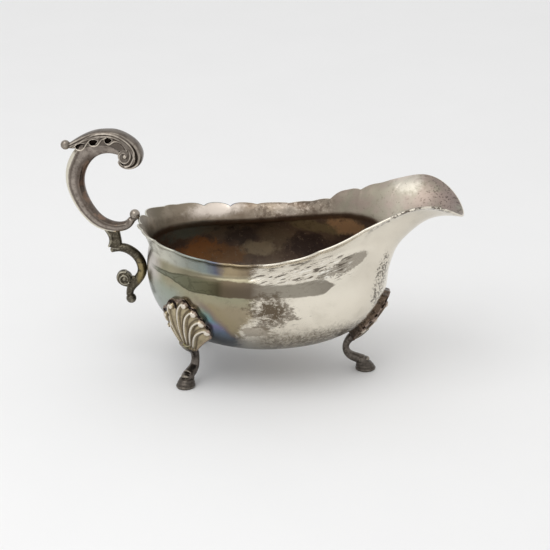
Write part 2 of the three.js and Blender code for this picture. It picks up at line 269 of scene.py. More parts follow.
def make_surface(columns, below, above, scalloped=True):
    """The outer surface: its points and their distances from the neck, in rows up the section. below and
    above are the rows' places, as shares of the way from the neck to the underside's middle and the rim."""
    from_back = (0.5 - np.arange(columns) / columns) * RIM_LENGTH
    line = section_lines(columns)
    depth, arch = cut_back(from_back)
    # the neck's crease is rounded by a bell-shaped average along the section
    offsets = np.linspace(-2.2, 2.2, 11)
    weights = bell(offsets, math.sqrt(2))
    weights /= weights.sum()
    grid = np.zeros((len(below) + len(above), columns, 3))
    rise = np.zeros(grid.shape[:2])
    for c in range(columns):
        along = arc(line[:, c])
        neck_at = along[LOW_ROWS - 1]
        flare_length = along[-1] - neck_at
        top = flare_length - RIM_WALL / 2 - (depth[c] if scalloped else 0)
        s = np.concatenate([-below * neck_at, above * top])
        soft = NECK_ROUNDING * flare_length
        width = soft * bell(s, 3.2 * soft)
        for offset, weight in zip(offsets, weights):
            at = np.clip(neck_at + s + width * offset, 0, along[-1])
            for k in range(3):
                grid[:, c, k] += weight * np.interp(at, along, line[:, c, k])
        rise[:, c] = s
    share = smooth(0.15, 1, np.clip(rise, 0, None) / np.maximum(rise[-1], 1e-9))
    fold = FOLD_DEPTH * (1 - arch) * share
    waves = HAMMERING * smooth(0, 14, rise - rise[0]) * wobble(grid)
    grid += normals_of(grid) * (waves - fold)[..., None]
    for place, height, spread in RIM_LIFTS:
        grid[..., 2] += share ** 2 * height * bell(from_back - place, spread)
    return grid, rise


class Surface:
    """The bowl's outer surface, looked up by share of the way round and distance up from the underside."""

    COLUMNS = 240
    ROWS = 300
    LENGTH = 110.0        # as far up as it is looked up

    def __init__(self):
        below = np.linspace(1, 0, 90)
        above = np.linspace(0.05, 1, 16)
        grid, rise = make_surface(self.COLUMNS, below, above, scalloped=False)
        heights = np.linspace(0, self.LENGTH, self.ROWS)
        self.points = np.zeros((self.ROWS, self.COLUMNS, 3))
        for c in range(self.COLUMNS):
            along = rise[:, c] - rise[0, c]
            for k in range(3):
                self.points[:, c, k] = np.interp(heights, along, grid[:, c, k])
        self.normals = normals_of(self.points)
        self.normals[:3] = (0, 0, -1)

    def at(self, rounds, distance):
        c = (np.asarray(rounds) % 1) * self.COLUMNS
        r = np.clip(np.asarray(distance) / self.LENGTH, 0, 1) * (self.ROWS - 1)
        c0 = np.floor(c).astype(int)
        r0 = np.minimum(np.floor(r).astype(int), self.ROWS - 2)
        fc = (c - c0)[..., None]
        fr = (r - r0)[..., None]
        c0 %= self.COLUMNS
        c1 = (c0 + 1) % self.COLUMNS

        def mix(a):
            return ((a[r0, c0] * (1 - fc) + a[r0, c1] * fc) * (1 - fr)
                    + (a[r0 + 1, c0] * (1 - fc) + a[r0 + 1, c1] * fc) * fr)

        normal = mix(self.normals)
        return mix(self.points), normal / np.linalg.norm(normal, axis=-1, keepdims=True)


# ---- meshes ----

# the shared frame's origin is the middle of the whole length, so the stations move along x to its bowl
SHIFT_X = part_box("bowl")[1].x / MM - LIP_REACH


def in_scene(points):
    """Places in the stations' millimetres, as metres in the shared frame."""
    return (points + (SHIFT_X, 0, 0)) * MM


def in_stations(points):
    """The other way round."""
    return points / MM - (SHIFT_X, 0, 0)


def new_mesh(name, points, faces):
    mesh = bpy.data.meshes.new(name)
    mesh.from_pydata(points.tolist(), [], faces)
    mesh.validate()
    return mesh


def smooth_object(name, mesh):
    """A smoothly shaded object in the scene."""
    mesh.update()
    mesh.polygons.foreach_set("use_smooth", [True] * len(mesh.polygons))
    piece = bpy.data.objects.new(name, mesh)
    bpy.context.scene.collection.objects.link(piece)
    return piece


def store(piece, name, values):
    """Keeps a value at each point of a piece, for its material."""
    attribute = piece.data.attributes.new(name, "FLOAT", "POINT")
    attribute.data.foreach_set("value", np.asarray(values, np.float32).ravel())


def stitch(first, second):
    """Faces between two closed rows of point numbers, where the second has as many points or half as many."""
    n, m = len(first), len(second)
    if n == m:
        return [(first[i], first[(i + 1) % n], second[(i + 1) % n], second[i]) for i in range(n)]
    faces = []
    for i in range(m):
        a, b, c = first[2 * i], first[2 * i + 1], first[(2 * i + 2) % n]
        d, e = second[i], second[(i + 1) % m]
        faces += [(a, b, d), (b, e, d), (b, c, e)]
    return faces


def fan(centre, row, flip):
    """Faces from a centre to a closed row of point numbers."""
    return [(centre, b, a) if flip else (centre, a, b) for a, b in zip(row, row[1:] + row[:1])]


EDGE_STEPS = 6            # steps round the rim's edge
# the bowl's material slots
OUTSIDE = 0
INSIDE = 1


def bowl_rows():
    """The bowl's closed rows, from the underside's middle up the outside, over the rim and down inside.
    Each has its points, their distances from neck and rim, and its material slot."""
    below = np.linspace(1, 0, 58) ** 1.5
    above = np.linspace(0, 1, 31)[1:] ** 1.2
    grid, rise = make_surface(SIDES_FINE, below, above)
    normal = normals_of(grid)
    normal[:2] = (0, 0, -1)
    to_rim = rise[-1] - rise
    wall = RIM_WALL + (WALL - RIM_WALL) * smooth(0, 6, to_rim)
    inner = grid - normal * wall[..., None]
    # fewer columns towards the underside's middle
    skips = [32, 16, 8, 4, 4]
    skips += [2 if share >= 0.06 else 1 for share in below[len(skips):]]
    skips += [1] * len(above)
    sides = []
    for surface, slot in ((grid, OUTSIDE), (inner, INSIDE)):
        sides.append([(surface[r, ::skip], rise[r, ::skip], to_rim[r, ::skip], slot)
                      for r, skip in enumerate(skips)])
    middle = (grid[-1] + inner[-1]) / 2
    outward = grid[-1] - grid[-2]
    outward /= np.linalg.norm(outward, axis=1, keepdims=True)
    edge = []
    for angle in np.linspace(0, math.pi, EDGE_STEPS + 1)[1:-1]:
        ring = middle + RIM_WALL / 2 * (math.cos(angle) * normal[-1] + math.sin(angle) * outward)
        edge.append((ring, rise[-1], to_rim[-1], OUTSIDE))
    return sides[0] + edge + sides[1][::-1]


def bowl_piece():
    """The bowl's object and each face's material slot. Its points hold their distances from neck and rim."""
    points = []
    values = []
    rows = []
    for ring, rises, to_rims, slot in bowl_rows():
        rows.append((list(range(len(points), len(points) + len(ring))), slot))
        points.extend(ring)
        values.extend(zip(rises, to_rims))
    faces = []
    slots = []
    for (row, slot), (following, next_slot) in zip(rows, rows[1:]):
        if len(row) >= len(following):
            made = stitch(row, following)
        else:
            made = [face[::-1] for face in stitch(following, row)]
        faces += made
        slots += [INSIDE if slot == next_slot == INSIDE else OUTSIDE] * len(made)
    for (row, slot), flip in ((rows[0], True), (rows[-1], False)):
        points.append(np.mean([points[i] for i in row], axis=0))
        values.append(values[row[0]])
        faces += fan(len(points) - 1, row, flip)
        slots += [slot] * len(row)
    piece = smooth_object("bowl_raised", new_mesh("bowl_raised", in_scene(np.array(points)), faces))
    for name, column in zip(("neck_mm", "rim_mm"), np.transpose(values)):
        store(piece, name, column)
    return piece, slots


# ---- cast pieces: closed parts that are fused by a voxel remesh ----

def along_knots(knots, steps):
    """Points along a curve through knots, whose first two numbers are the place."""
    knots = np.asarray(knots, float)
    where = chords(knots[:, :2])
    return spline(where, knots)(np.linspace(0, where[-1], steps))


def tube(knots, sides=28, steps=150, power=2.0):
    """A closed tube in an upright plane. knots: x, z, half thickness in the plane, half width across it.
    A power of 2 gives an oval section, less gives ridges, and more gives flat sides."""
    at = along_knots(knots, steps)
    run = directions(at[:, :2])
    angle = circle(sides)
    c = np.sign(np.cos(angle)) * np.abs(np.cos(angle)) ** (2 / power)
    s = np.sign(np.sin(angle)) * np.abs(np.sin(angle)) ** (2 / power)
    rings = np.zeros((steps, sides, 3))
    rings[..., 0] = at[:, None, 0] - run[:, None, 1] * at[:, None, 2] * c
    rings[..., 1] = at[:, None, 3] * s
    rings[..., 2] = at[:, None, 1] + run[:, None, 0] * at[:, None, 2] * c
    return lofted(rings)


def rod(path, radii, steps, sides=12):
    """A round closed rod along points in space."""
    path = np.asarray(path, float)
    radii = np.broadcast_to(np.asarray(radii, float), (len(path),))
    knots = chords(path)
    where = np.linspace(0, knots[-1], steps)
    at = spline(knots, path)(where)
    size = np.interp(where, knots, radii)
    run = directions(at)
    side = np.cross(run[0], (0.3, 1, 0.2))
    rings = np.zeros((steps, sides, 3))
    for i in range(steps):
        side = side - run[i] * (side @ run[i])
        side /= np.linalg.norm(side)
        other = np.cross(run[i], side)
        for k, angle in enumerate(circle(sides)):
            rings[i, k] = at[i] + size[i] * (math.cos(angle) * side + math.sin(angle) * other)
    return lofted(rings)


def lofted(rings):
    """Points and faces of a closed body through rings, with a fan over each end."""
    sides = rings.shape[1]
    points = list(rings.reshape(-1, 3))
    rows = [list(range(start, start + sides)) for start in range(0, len(points), sides)]
    faces = []
    for row, following in zip(rows, rows[1:]):
        faces += stitch(row, following)
    for ring, row, flip in ((rings[0], rows[0], True), (rings[-1], rows[-1], False)):
        points.append(ring.mean(axis=0))
        faces += fan(len(points) - 1, row, flip)
    return np.array(points), faces


BALL_SIDES = 24
DRUM_SIDES = 36


def ball(x, y, z, radius, squash=(1, 1, 1)):
    """A closed round knob, made as rings from pole to pole."""
    turn = np.linspace(0.08, math.pi - 0.08, BALL_SIDES // 2)
    angle = circle(BALL_SIDES)
    rings = np.zeros((len(turn), BALL_SIDES, 3))
    rings[..., 0] = x + radius * squash[0] * np.sin(turn)[:, None] * np.cos(angle)
    rings[..., 1] = y + radius * squash[1] * np.sin(turn)[:, None] * np.sin(angle)
    rings[..., 2] = z + radius * squash[2] * np.cos(turn)[:, None]
    return lofted(rings)


def drum(x, z, profile):
    """A turned body about an axis along y. The profile, distances from the middle and radii, is mirrored."""
    outline = [(-y, radius) for y, radius in profile[::-1]] + list(profile[1:])
    angle = circle(DRUM_SIDES)
    rings = np.zeros((len(outline), DRUM_SIDES, 3))
    for i, (y, radius) in enumerate(outline):
        rings[i, :, 0] = x + radius * np.cos(angle)
        rings[i, :, 1] = y
        rings[i, :, 2] = z + radius * np.sin(angle)
    return lofted(rings)


def sheet_body(upper, lower):
    """A closed slab between two grids of points."""
    rows, columns = upper.shape[:2]
    points = np.concatenate([upper.reshape(-1, 3), lower.reshape(-1, 3)])
    under = rows * columns
    faces = []
    for r in range(rows - 1):
        for c in range(columns - 1):
            a = r * columns + c
            faces.append((a, a + 1, a + columns + 1, a + columns))
            faces.append((under + a, under + a + columns, under + a + columns + 1, under + a + 1))
    edge = list(range(columns))
    edge += [r * columns + columns - 1 for r in range(1, rows)]
    edge += [(rows - 1) * columns + c for c in range(columns - 2, -1, -1)]
    edge += [r * columns for r in range(rows - 2, 0, -1)]
    for i, a in enumerate(edge):
        b = edge[(i + 1) % len(edge)]
        faces.append((a, under + a, under + b, b))
    return points, faces


def neighbour_mean(points, edges):
    """The mean of each point's neighbours."""
    count = np.bincount(edges.ravel(), minlength=len(points)).astype(float)
    total = np.zeros_like(points)
    for k in range(3):
        total[:, k] = (np.bincount(edges[:, 0], points[edges[:, 1], k], len(points))
                       + np.bincount(edges[:, 1], points[edges[:, 0], k], len(points)))
    return total / count[:, None]


def mesh_arrays(mesh):
    """A mesh's points, edges and normals as arrays."""
    points = np.zeros(len(mesh.vertices) * 3)
    mesh.vertices.foreach_get("co", points)
    edges = np.zeros(len(mesh.edges) * 2, int)
    mesh.edges.foreach_get("vertices", edges)
    normals = np.zeros(len(mesh.vertices) * 3)
    mesh.vertices.foreach_get("normal", normals)
    return points.reshape(-1, 3), edges.reshape(-1, 2), normals.reshape(-1, 3)


RELIEF_REACH = 2.6        # how far around a point its relief is judged, before spreading


def cast(name, parts, voxel=0.22, soften=3, shape=None):
    """One fused casting from closed parts. It stores relief, above 0 on ridges and under 0 in grooves."""
    points = []
    faces = []
    for part_points, part_faces in parts:
        base = sum(len(p) for p in points)
        points.append(part_points)
        faces += [tuple(base + i for i in f) for f in part_faces]
    raw = smooth_object(name + "_raw", new_mesh(name + "_raw", np.concatenate(points), faces))
    fuse = raw.modifiers.new("fuse", "REMESH")
    fuse.mode = "VOXEL"
    fuse.voxel_size = voxel
    seen = raw.evaluated_get(bpy.context.evaluated_depsgraph_get())
    mesh = bpy.data.meshes.new_from_object(seen)
    bpy.data.objects.remove(raw)
    mesh.name = name
    at, edges = mesh_arrays(mesh)[:2]
    # each round smooths and then swells back, so that thin ridges keep their size
    for _ in range(soften):
        at = at + 0.6 * (neighbour_mean(at, edges) - at)
        at = at - 0.35 * (neighbour_mean(at, edges) - at)
    if shape:
        at = shape(at)
    blurred = at.copy()
    for _ in range(round(RELIEF_REACH / voxel)):
        blurred = neighbour_mean(blurred, edges)
    mesh.vertices.foreach_set("co", in_scene(at).ravel())
    piece = smooth_object(name, mesh)
    normals = mesh_arrays(mesh)[2]
    store(piece, "relief", ((at - blurred) * normals).sum(axis=1))
    return piece


def points_of(piece):
    return in_stations(mesh_arrays(piece.data)[0])


# ---- the handle ----

# A tube's knots hold x, z, half thickness in the upright plane and half width across it
SCROLL_POWER = 2.3        # a little squarer than an oval
MAIN_SCROLL = (
    (-60.2, 71.2, 1.7, 1.8), (-62.6, 68.5, 2.0, 2.0), (-67.4, 67.4, 2.3, 2.3), (-73.9, 69.1, 2.8, 2.6),
    (-79.4, 73.8, 3.3, 2.9), (-84, 81.8, 3.8, 3.2), (-85.7, 89.8, 4.3, 3.4), (-84.4, 96.8, 4.6, 3.1),
    (-80.6, 102.8, 4.6, 2.0), (-75, 106.5, 4.6, 1.5), (-68.6, 107.1, 4.4, 1.6), (-63.2, 105, 3.6, 1.9))
LEAF_BODY = (
    (-88.0, 105.6, 1.0, 0.9), (-85.2, 106.4, 1.7, 1.6), (-81.6, 107.9, 2.6, 2.2), (-77.4, 109.2, 2.9, 2.6),
    (-72.6, 109.9, 3.2, 2.9), (-67.6, 109.5, 3.6, 3.1), (-62.9, 107.2, 3.9, 3.3), (-60.0, 103.4, 3.8, 3.4),
    (-60.6, 99.8, 3.2, 3.4), (-62.8, 98.9, 2.4, 3.3))
# the leaf's outer roll: x, z of its back, half thickness, half width
LEAF_ROLL = (
    (-88.8, 106.5, 0.8, 1.2), (-86.6, 108.0, 1.0, 1.9), (-83.7, 109.9, 1.2, 2.4), (-79.8, 112.0, 1.4, 2.9),
    (-75.0, 113.6, 1.5, 3.2), (-70.2, 114.1, 1.6, 3.4), (-66.4, 113.9, 1.7, 3.6), (-62.1, 112.4, 1.9, 3.8),
    (-58.4, 110.1, 2.2, 3.9), (-55.8, 107.4, 2.4, 3.9), (-54.3, 104.0, 2.5, 3.9), (-54.2, 101.5, 2.4, 3.9),
    (-55.2, 98.7, 2.1, 3.8), (-57.2, 96.9, 1.7, 3.7), (-59.8, 96.0, 1.3, 3.6), (-62.6, 96.2, 1.0, 3.5),
    (-64.8, 97.5, 0.8, 3.4), (-65.8, 99.4, 0.7, 3.3))
LEAF_RIDGE = (
    (-86.1, 105.5), (-84.5, 106.7), (-79.5, 110.3), (-75.5, 112.2), (-70.7, 112.8), (-66.4, 112.2),
    (-62.6, 110.4), (-59.6, 107.6), (-58.0, 104.1), (-58.4, 101.4), (-60.1, 98.5), (-62.4, 97.6))
LEAF_INNER_RIDGE = (
    (-77.6, 109.9), (-74.9, 110.7), (-71.2, 111.5), (-68.8, 111.5), (-66.4, 111.0), (-62.7, 108.7),
    (-60.4, 105.8), (-59.7, 103.1), (-60.5, 100.5), (-62.5, 99.4), (-64.3, 100.7), (-64.6, 102.6),
    (-63.4, 104.0), (-62.0, 103.9), (-61.4, 102.6), (-62.1, 101.7))
LEAF_HOOKS = (
    ((-85.0, 105.9), (-84.1, 104.7), (-82.6, 104.4), (-80.9, 105.4), (-79.6, 107.5), (-77.6, 109.5),
     (-74.6, 110.9)),
    ((-78.3, 108.7), (-77.9, 107.3), (-76.1, 106.8), (-74.1, 107.9), (-72.5, 110.0), (-70.3, 111.0)),
    ((-71.1, 110.0), (-70.7, 108.6), (-69.2, 107.9), (-67.5, 109.0), (-64.9, 109.4), (-62.6, 107.9),
     (-61.1, 105.3)))
LEAF_VOLUTE = (-62.1, 102.5)
# the leaf's teardrop hollows: x, z, half length, half height, slope
TEARDROP_DEPTH = 0.9
TEARDROPS = ((-82.6, 106.4, 2.1, 1.0, 0.45), (-76.4, 108.6, 1.8, 1.15, 0.35), (-69.6, 109.7, 1.5, 1.0, 0.2))


def leaf_half_width(x):
    return np.interp(x, (-88, -84, -80, -75, -70, -66, -62), (1.0, 1.8, 2.3, 2.7, 3.0, 3.2, 3.4))


def both_sides(line, radius):
    """A raised wire along both side faces of the leaf, thin at its start."""
    made = []
    for side in (1, -1):
        path = [(x, side * leaf_half_width(x), z) for x, z in line]
        thin = np.ones(len(line))
        thin[0] = 0.45
        made.append(rod(path, radius * thin, sides=10, steps=10 * len(line)))
    return made


def moved_in(knots, share):
    """Knots moved towards the inner edge by a share of their half thickness."""
    moved = np.array(knots, float)
    run = directions(moved[:, :2])
    moved[:, 0] += run[:, 1] * moved[:, 2] * share
    moved[:, 1] -= run[:, 0] * moved[:, 2] * share
    return moved


def roll_tube(knots):
    """The outer roll, whose knots give its back: the tube's middle lies half a thickness further in."""
    return tube(moved_in(along_knots(knots, 60), 1), power=SCROLL_POWER, steps=220)


def scroll_line(offset, side, first, last):
    """A line along one face of the main scroll, offset from its middle by a share of its half thickness."""
    knots = np.array(MAIN_SCROLL)
    run = directions(knots[:, :2])
    level = (1 - abs(offset) ** SCROLL_POWER) ** (1 / SCROLL_POWER)
    path = [(x - run_z * offset * half, side * level * width, z + run_x * offset * half)
            for (x, z, half, width), (run_x, run_z) in zip(knots, run)]
    return path[first:last]


def outer_share(at):
    """How far points lie towards the main scroll's back, 1, or its inner edge, -1. It fades at the ends."""
    line = along_knots(MAIN_SCROLL, 200)
    run = directions(line[:, :2])
    nearest = np.array([np.argmin(((line[:, :2] - place) ** 2).sum(axis=1)) for place in at])
    gap = at - line[nearest, :2]
    outer = (gap[:, 1] * run[nearest, 0] - gap[:, 0] * run[nearest, 1]) / line[nearest, 2]
    return outer * smooth(2, 30, nearest) * (1 - smooth(130, 165, nearest))


def main_scroll_piece():
    """The large scroll with its keel, the raised lines on its faces and the ball at the rim."""
    keel = moved_in(MAIN_SCROLL, 0.38) * (1, 1, 0.55, 1.05)
    parts = [tube(MAIN_SCROLL, sides=44, steps=220, power=SCROLL_POWER),
             tube(keel[2:-1], sides=40, steps=200, power=1.6)]
    # a raised line near each edge of both faces
    for offset, radius, first, last in ((0.72, 0.5, 2, 9), (-0.5, 0.42, 1, 8)):
        for side in (1, -1):
            parts.append(rod(scroll_line(offset, side, first, last), radius, sides=10, steps=160))
    parts.append(ball(-58.9, 0, 73.6, 2.4))
    parts.append(rod([(-60.4, 0, 71.0), (-58.2, 0, 72.2), (-56.6, 0, 72.2)], (1.5, 1.3, 0.7), steps=24))
    piece = cast("handle_main_scroll_cast", parts, voxel=0.25)
    store(piece, "outer", outer_share(points_of(piece)[:, [0, 2]]))
    return piece


def teardrops(at, y_side):
    """How deep each point of one side of the leaf lies in a teardrop hollow, 0 to 1."""
    deep = np.zeros(len(at))
    for x, z, half_long, half_high, slope in TEARDROPS:
        dx = at[:, 0] - x
        dz = at[:, 2] - z
        u = (dx * math.cos(slope) + dz * math.sin(slope)) / half_long
        v = (dz * math.cos(slope) - dx * math.sin(slope)) / (half_high * (1 - 0.35 * u))
        deep = np.maximum(deep, 1 - smooth(0.85, 1.2, np.hypot(u, v)))
    return deep * (at[:, 1] * y_side > 1.2)


def dent_leaf(at):
    """Sinks the teardrops into both side faces."""
    at = at.copy()
    for side in (1, -1):
        at[:, 1] -= side * TEARDROP_DEPTH * teardrops(at, side)
    return at


def leaf_piece():
    """The leaf with its rolled back, ridges, hooks and volute."""
    outer = np.array(LEAF_ROLL) * (1, 1, 0.62, 0.9)
    inner = moved_in(LEAF_ROLL, 1.05) * (1, 1, 0.55, 1)
    parts = [tube(LEAF_BODY, power=3.2, steps=160), roll_tube(outer), roll_tube(inner),
             ball(-89.6, 0, 106.2, 2.2)]
    parts += both_sides(LEAF_RIDGE, 0.5)
    parts += both_sides(LEAF_INNER_RIDGE, 0.45)
    for hook in LEAF_HOOKS:
        parts += both_sides(hook, 0.42)
    x, z = LEAF_VOLUTE
    parts.append(drum(x, z, ((0, 3.3), (3.2, 3.3), (3.5, 3.0), (3.55, 0.4))))
    for side in (1, -1):
        parts.append(ball(x, side * 3.6, z, 1.0, (1, 0.7, 1)))

    piece = cast("handle_leaf_cast", parts, voxel=0.17, soften=2, shape=dent_leaf)
    at = points_of(piece) * (1, 1.5, 1)
    # how deep each point lies in a teardrop hollow, for the painted shade there
    store(piece, "teardrop_shade", np.maximum(teardrops(at, 1), teardrops(at, -1)))
    return piece


STRUT_STEM = (
    (-69.2, 67.2, 3.4, 2.0), (-68.0, 64.4, 2.1, 1.9), (-67.5, 61.8, 2.0, 1.8), (-67.6, 59.2, 2.5, 1.9),
    (-67.9, 56.8, 2.9, 1.9))
STRUT_WING = (
    (-72.9, 67.2, 1.2, 1.9), (-70.9, 64.4, 1.3, 1.9), (-70.0, 61.6, 1.2, 1.8), (-70.4, 59.2, 0.9, 1.6),
    (-71.6, 57.3, 0.35, 1.2))
STRUT_SPUR = ((-68.6, 58.4, 1.5, 1.8), (-69.2, 56.6, 1.0, 1.5), (-69.9, 54.9, 0.3, 1.0))


def strut_piece():
    """The bracket between the two scrolls."""
    parts = [tube(STRUT_STEM, power=2.6), tube(STRUT_WING, power=2.2), tube(STRUT_SPUR, power=2.2)]
    return cast("handle_strut_cast", parts)


LOWER_SCROLL = (
    (-70.4, 55.4, 1.0, 1.2), (-66, 57.1, 2.0, 1.9), (-61.6, 55.9, 2.2, 2.1), (-57.9, 52.5, 2.3, 2.2),
    (-56.2, 48.2, 2.3, 2.2), (-56.6, 44.4, 2.2, 2.1), (-59.2, 40.4, 2.2, 2.0), (-61.7, 36.9, 1.9, 1.9),
    (-62.4, 33.4, 1.6, 1.6))
CURL = (-64.3, 42.0)
CURL_BAND = (
    (-59.2, 41.4, 1.9, 1.9), (-60.8, 39.6, 1.6, 1.9), (-63.6, 38.9, 1.1, 2.0), (-66.4, 40.0, 0.9, 2.0),
    (-67.5, 42.4, 0.8, 1.9), (-66.2, 44.8, 0.7, 1.8), (-63.6, 45.2, 0.6, 1.7))


def lower_scroll_piece():
    """The small scroll with its curl, boss and ball."""
    x, z = CURL
    parts = [tube(LOWER_SCROLL, power=1.9, sides=32, steps=160), ball(-61.7, 0, 31.9, 2.4)]
    parts.append(drum(x, z, ((0, 3.3), (1.3, 3.3), (1.9, 2.7), (2.05, 2.0), (2.1, 0.3))))
    parts.append(rod([(x + 1.5, 0, z - 1.0), (-59.8, 0, 41.6)], 1.7, steps=20))
    parts.append(tube(CURL_BAND, power=2.2, steps=120))
    for side in (1, -1):
        # a raised wire that winds in round the boss
        turn = -0.6 - np.linspace(0, 2 * math.pi, 30)
        radius = np.linspace(2.6, 1.3, len(turn))
        wire = [x + radius * np.cos(turn), np.full(len(turn), side * 2.0), z + radius * np.sin(turn)]
        parts.append(rod(np.stack(wire, axis=1), 0.45, sides=8, steps=160))
        parts.append(ball(x, side * 1.9, z, 1.2, (1, 0.6, 1)))
    return cast("handle_lower_scroll_cast", parts, voxel=0.18, soften=2)


# ---- shell knees and legs ----

SHELL_ROOT = 5            # distance from the fan's centre to the shell's base
SHELL_SPREAD = 0.87       # half angle of the fan, radians
SHELL_CORNER_DROP = 0.46  # how much shorter the fan is at its sides
SHELL_POINT = 1.25        # more makes the fan's top rounder
KNOB_INSET = 3.1          # how far the ribs' knobs lie inside the shell's edge
KNOB = 1.65               # radius of a knob
RIB_STEPS = 44
HOLLOW_DEPTH = 1.6        # of the hollows behind the knobs
# the ribs' sides within the fan, -1 to 1
RIBS_CURLED = (-0.88, -0.55, -0.24, 0.08, 0.3, 0.52, 0.73)
RIBS_EVEN = (-0.9, -0.58, -0.22, 0.22, 0.58, 0.9)
# Each leg's place and the way it faces, and its shell: its place round the bowl and up its outer surface, the
# length from the fan's centre to the tip, how far its base and its edge stand off, how far it leans, and the
# side that its ribs curl to
FRONT = dict(x=47.2, y=0, azimuth=0, round=0, distance=43, length=31, standoff=3.2, edge=2.0, tilt=0, curl=0)
REAR = dict(x=-33.2, y=25.5, azimuth=2.03, round=0.412, distance=38, length=31, standoff=5.2, edge=0.9,
            tilt=-0.24, curl=-1)
MIRRORED = {key: -REAR[key] for key in ("y", "azimuth", "tilt", "curl")}
PLACES = {"front": FRONT, "rear_left": REAR, "rear_right": dict(REAR, round=1 - REAR["round"], **MIRRORED)}


def shell_ribs(place):
    """Each rib's side and the way its top curls over: all to one side at the rear, outwards at the front."""
    if place["curl"]:
        return [(side * place["curl"], place["curl"]) for side in RIBS_CURLED]
    return [(side, math.copysign(1, side)) for side in RIBS_EVEN]


def shell_reach(side, place):
    """The shell's edge: how far it reaches from the fan's centre, as lobes round its knobs."""
    lobes = np.zeros_like(side)
    for rib, turn in shell_ribs(place):
        lobes = np.maximum(lobes, np.exp(-((side - rib - turn * 0.03) / 0.12) ** 2))
    shorter = SHELL_CORNER_DROP * np.abs(side) ** SHELL_POINT
    return place["length"] * (1 - shorter) * (0.94 + 0.06 * lobes)


def rib_line(rib, turn, place):
    """A rib's curve from the shell's base to its knob, the knob's place, and the way to its hollow."""
    angle = SHELL_SPREAD * rib
    out = np.array((math.sin(angle), math.cos(angle)))
    across = np.array((math.cos(angle), -math.sin(angle))) * turn
    far = float(shell_reach(np.array(rib), place)) - KNOB_INSET
    knob_at = out * far + across * 0.9
    line = np.array([
        out * (SHELL_ROOT - 1), out * (0.45 * far) - across * 0.9, out * (far - 5) - across * 2.1,
        out * (far - 1.6) - across * 1.7, out * (far + 0.5) - across * 0.3, knob_at])
    return along_knots(line, RIB_STEPS), knob_at, out + 0.9 * across


def shell_relief(part, side, place):
    """The shell's height over its sheet: ribs that curl over into knobs, each with a deep hollow behind it.
    Also how much each point belongs to the top of a rib or knob, where a highlight is painted, to the strip
    beside a rib and to a hollow, where shade is painted, and to the border."""
    reach = shell_reach(side, place)
    radius = SHELL_ROOT + (reach - SHELL_ROOT) * part
    u = radius * np.sin(SHELL_SPREAD * side)
    v = radius * np.cos(SHELL_SPREAD * side)
    height, hollow, crest_highlight, foot_shade = np.zeros((4,) + part.shape)
    for rib, turn in shell_ribs(place):
        curve, knob_at, outward = rib_line(rib, turn, place)
        gap = np.full_like(part, np.inf)
        along = np.zeros_like(part)
        for i, (curve_u, curve_v) in enumerate(curve):
            here = np.hypot(u - curve_u, v - curve_v)
            along = np.where(here < gap, i / (RIB_STEPS - 1), along)
            gap = np.minimum(gap, here)
        ridge = (0.8 + 0.9 * along) * bell(gap, 0.55 + 0.4 * along)
        off = np.hypot(u - knob_at[0], v - knob_at[1])
        size = KNOB * (1 - 0.3 * max(0, -rib * place["curl"]))
        knob = 1.9 * np.sqrt(np.clip(1 - (off / size) ** 2, 0, 1))
        top = np.exp(-(gap / (0.3 + 0.22 * along)) ** 4) * smooth(0, 0.35, along)
        # where highlights are painted on the tops of the ribs and knobs, and shade beside the ribs and in the
        # hollows
        crest_highlight = np.maximum(crest_highlight, np.maximum(top, smooth(0.85 * size, 0.4 * size, off)))
        foot_shade = np.maximum(foot_shade, bell(gap - 0.95 - 0.4 * along, 0.42) * (off > size))
        beyond = ((u - knob_at[0]) * outward[0] + (v - knob_at[1]) * outward[1]) / np.maximum(off, 0.1)
        hollow = np.maximum(hollow, bell(off - size - 0.7, 0.65) * smooth(-0.2, 0.7, beyond))
        height = np.maximum(height, np.maximum(ridge, knob))
    from_tip = (1 - part) * (reach - SHELL_ROOT)
    sides = bell((1 - np.abs(side)) * SHELL_SPREAD * radius, 0.8)
    border = np.maximum(smooth(2.6, 1.6, from_tip), 0.8 * sides)
    rim = 0.8 * np.maximum(bell(from_tip, 0.75), sides)
    return np.maximum(height - HOLLOW_DEPTH * hollow, rim), (crest_highlight, foot_shade, hollow, border)


def store_face_marks(piece, face, marks):
    """Each point takes its marks from the nearest point of the shell's face. Walls and back take none."""
    tree = KDTree(len(face))
    for i, point in enumerate(face):
        tree.insert(point, i)
    tree.balance()
    found = [tree.find(point)[1:] for point in points_of(piece)]
    nearest = np.array([i for i, off in found])
    on_face = np.array([off < 0.6 for i, off in found])
    for key, values in zip(("crest_highlight", "foot_shade", "hollow", "border"), marks):
        store(piece, key, values.ravel()[nearest] * on_face)
    store(piece, "face", on_face)


def shell_piece(name, place, surface):
    """A fluted shell laid on the bowl, with its beads at the base."""
    rows = 170
    columns = 230
    part, side = np.meshgrid(np.linspace(0, 1, rows), np.linspace(-1, 1, columns), indexing="ij")
    radius = SHELL_ROOT + (shell_reach(side, place) - SHELL_ROOT) * part
    angle = SHELL_SPREAD * side + place["tilt"]
    along = place["distance"] - SHELL_ROOT + radius * np.cos(angle)
    # how far a share of the way round is in millimetres here
    small = 0.002
    here = surface.at(np.full_like(along, place["round"]), along)[0]
    there = surface.at(np.full_like(along, place["round"] + small), along)[0]
    rate = np.linalg.norm(there - here, axis=-1) / small
    on_bowl, outward = surface.at(place["round"] + radius * np.sin(angle) / rate, along)
    sheet = place["edge"] + place["standoff"] * (1 - part) ** 1.5
    height, marks = shell_relief(part, side, place)
    upper = on_bowl + outward * (sheet + height)[..., None]
    lower = on_bowl - outward * 0.25
    # a bead along the shell's base, and a thicker one behind it that joins the leg
    bead = [upper[3, c] - outward[3, c] * 0.6 for c in range(0, columns, 15)]
    root = [point - outward[0, 0] * 1.5 for point in bead[2:-2]]
    parts = [sheet_body(upper, lower), rod(bead, 1.0, steps=60), rod(root, 1.3, steps=40)]
    piece = cast(name + "_shell_cast", parts, voxel=0.2, soften=1)
    store_face_marks(piece, upper.reshape(-1, 3), marks)
    return piece


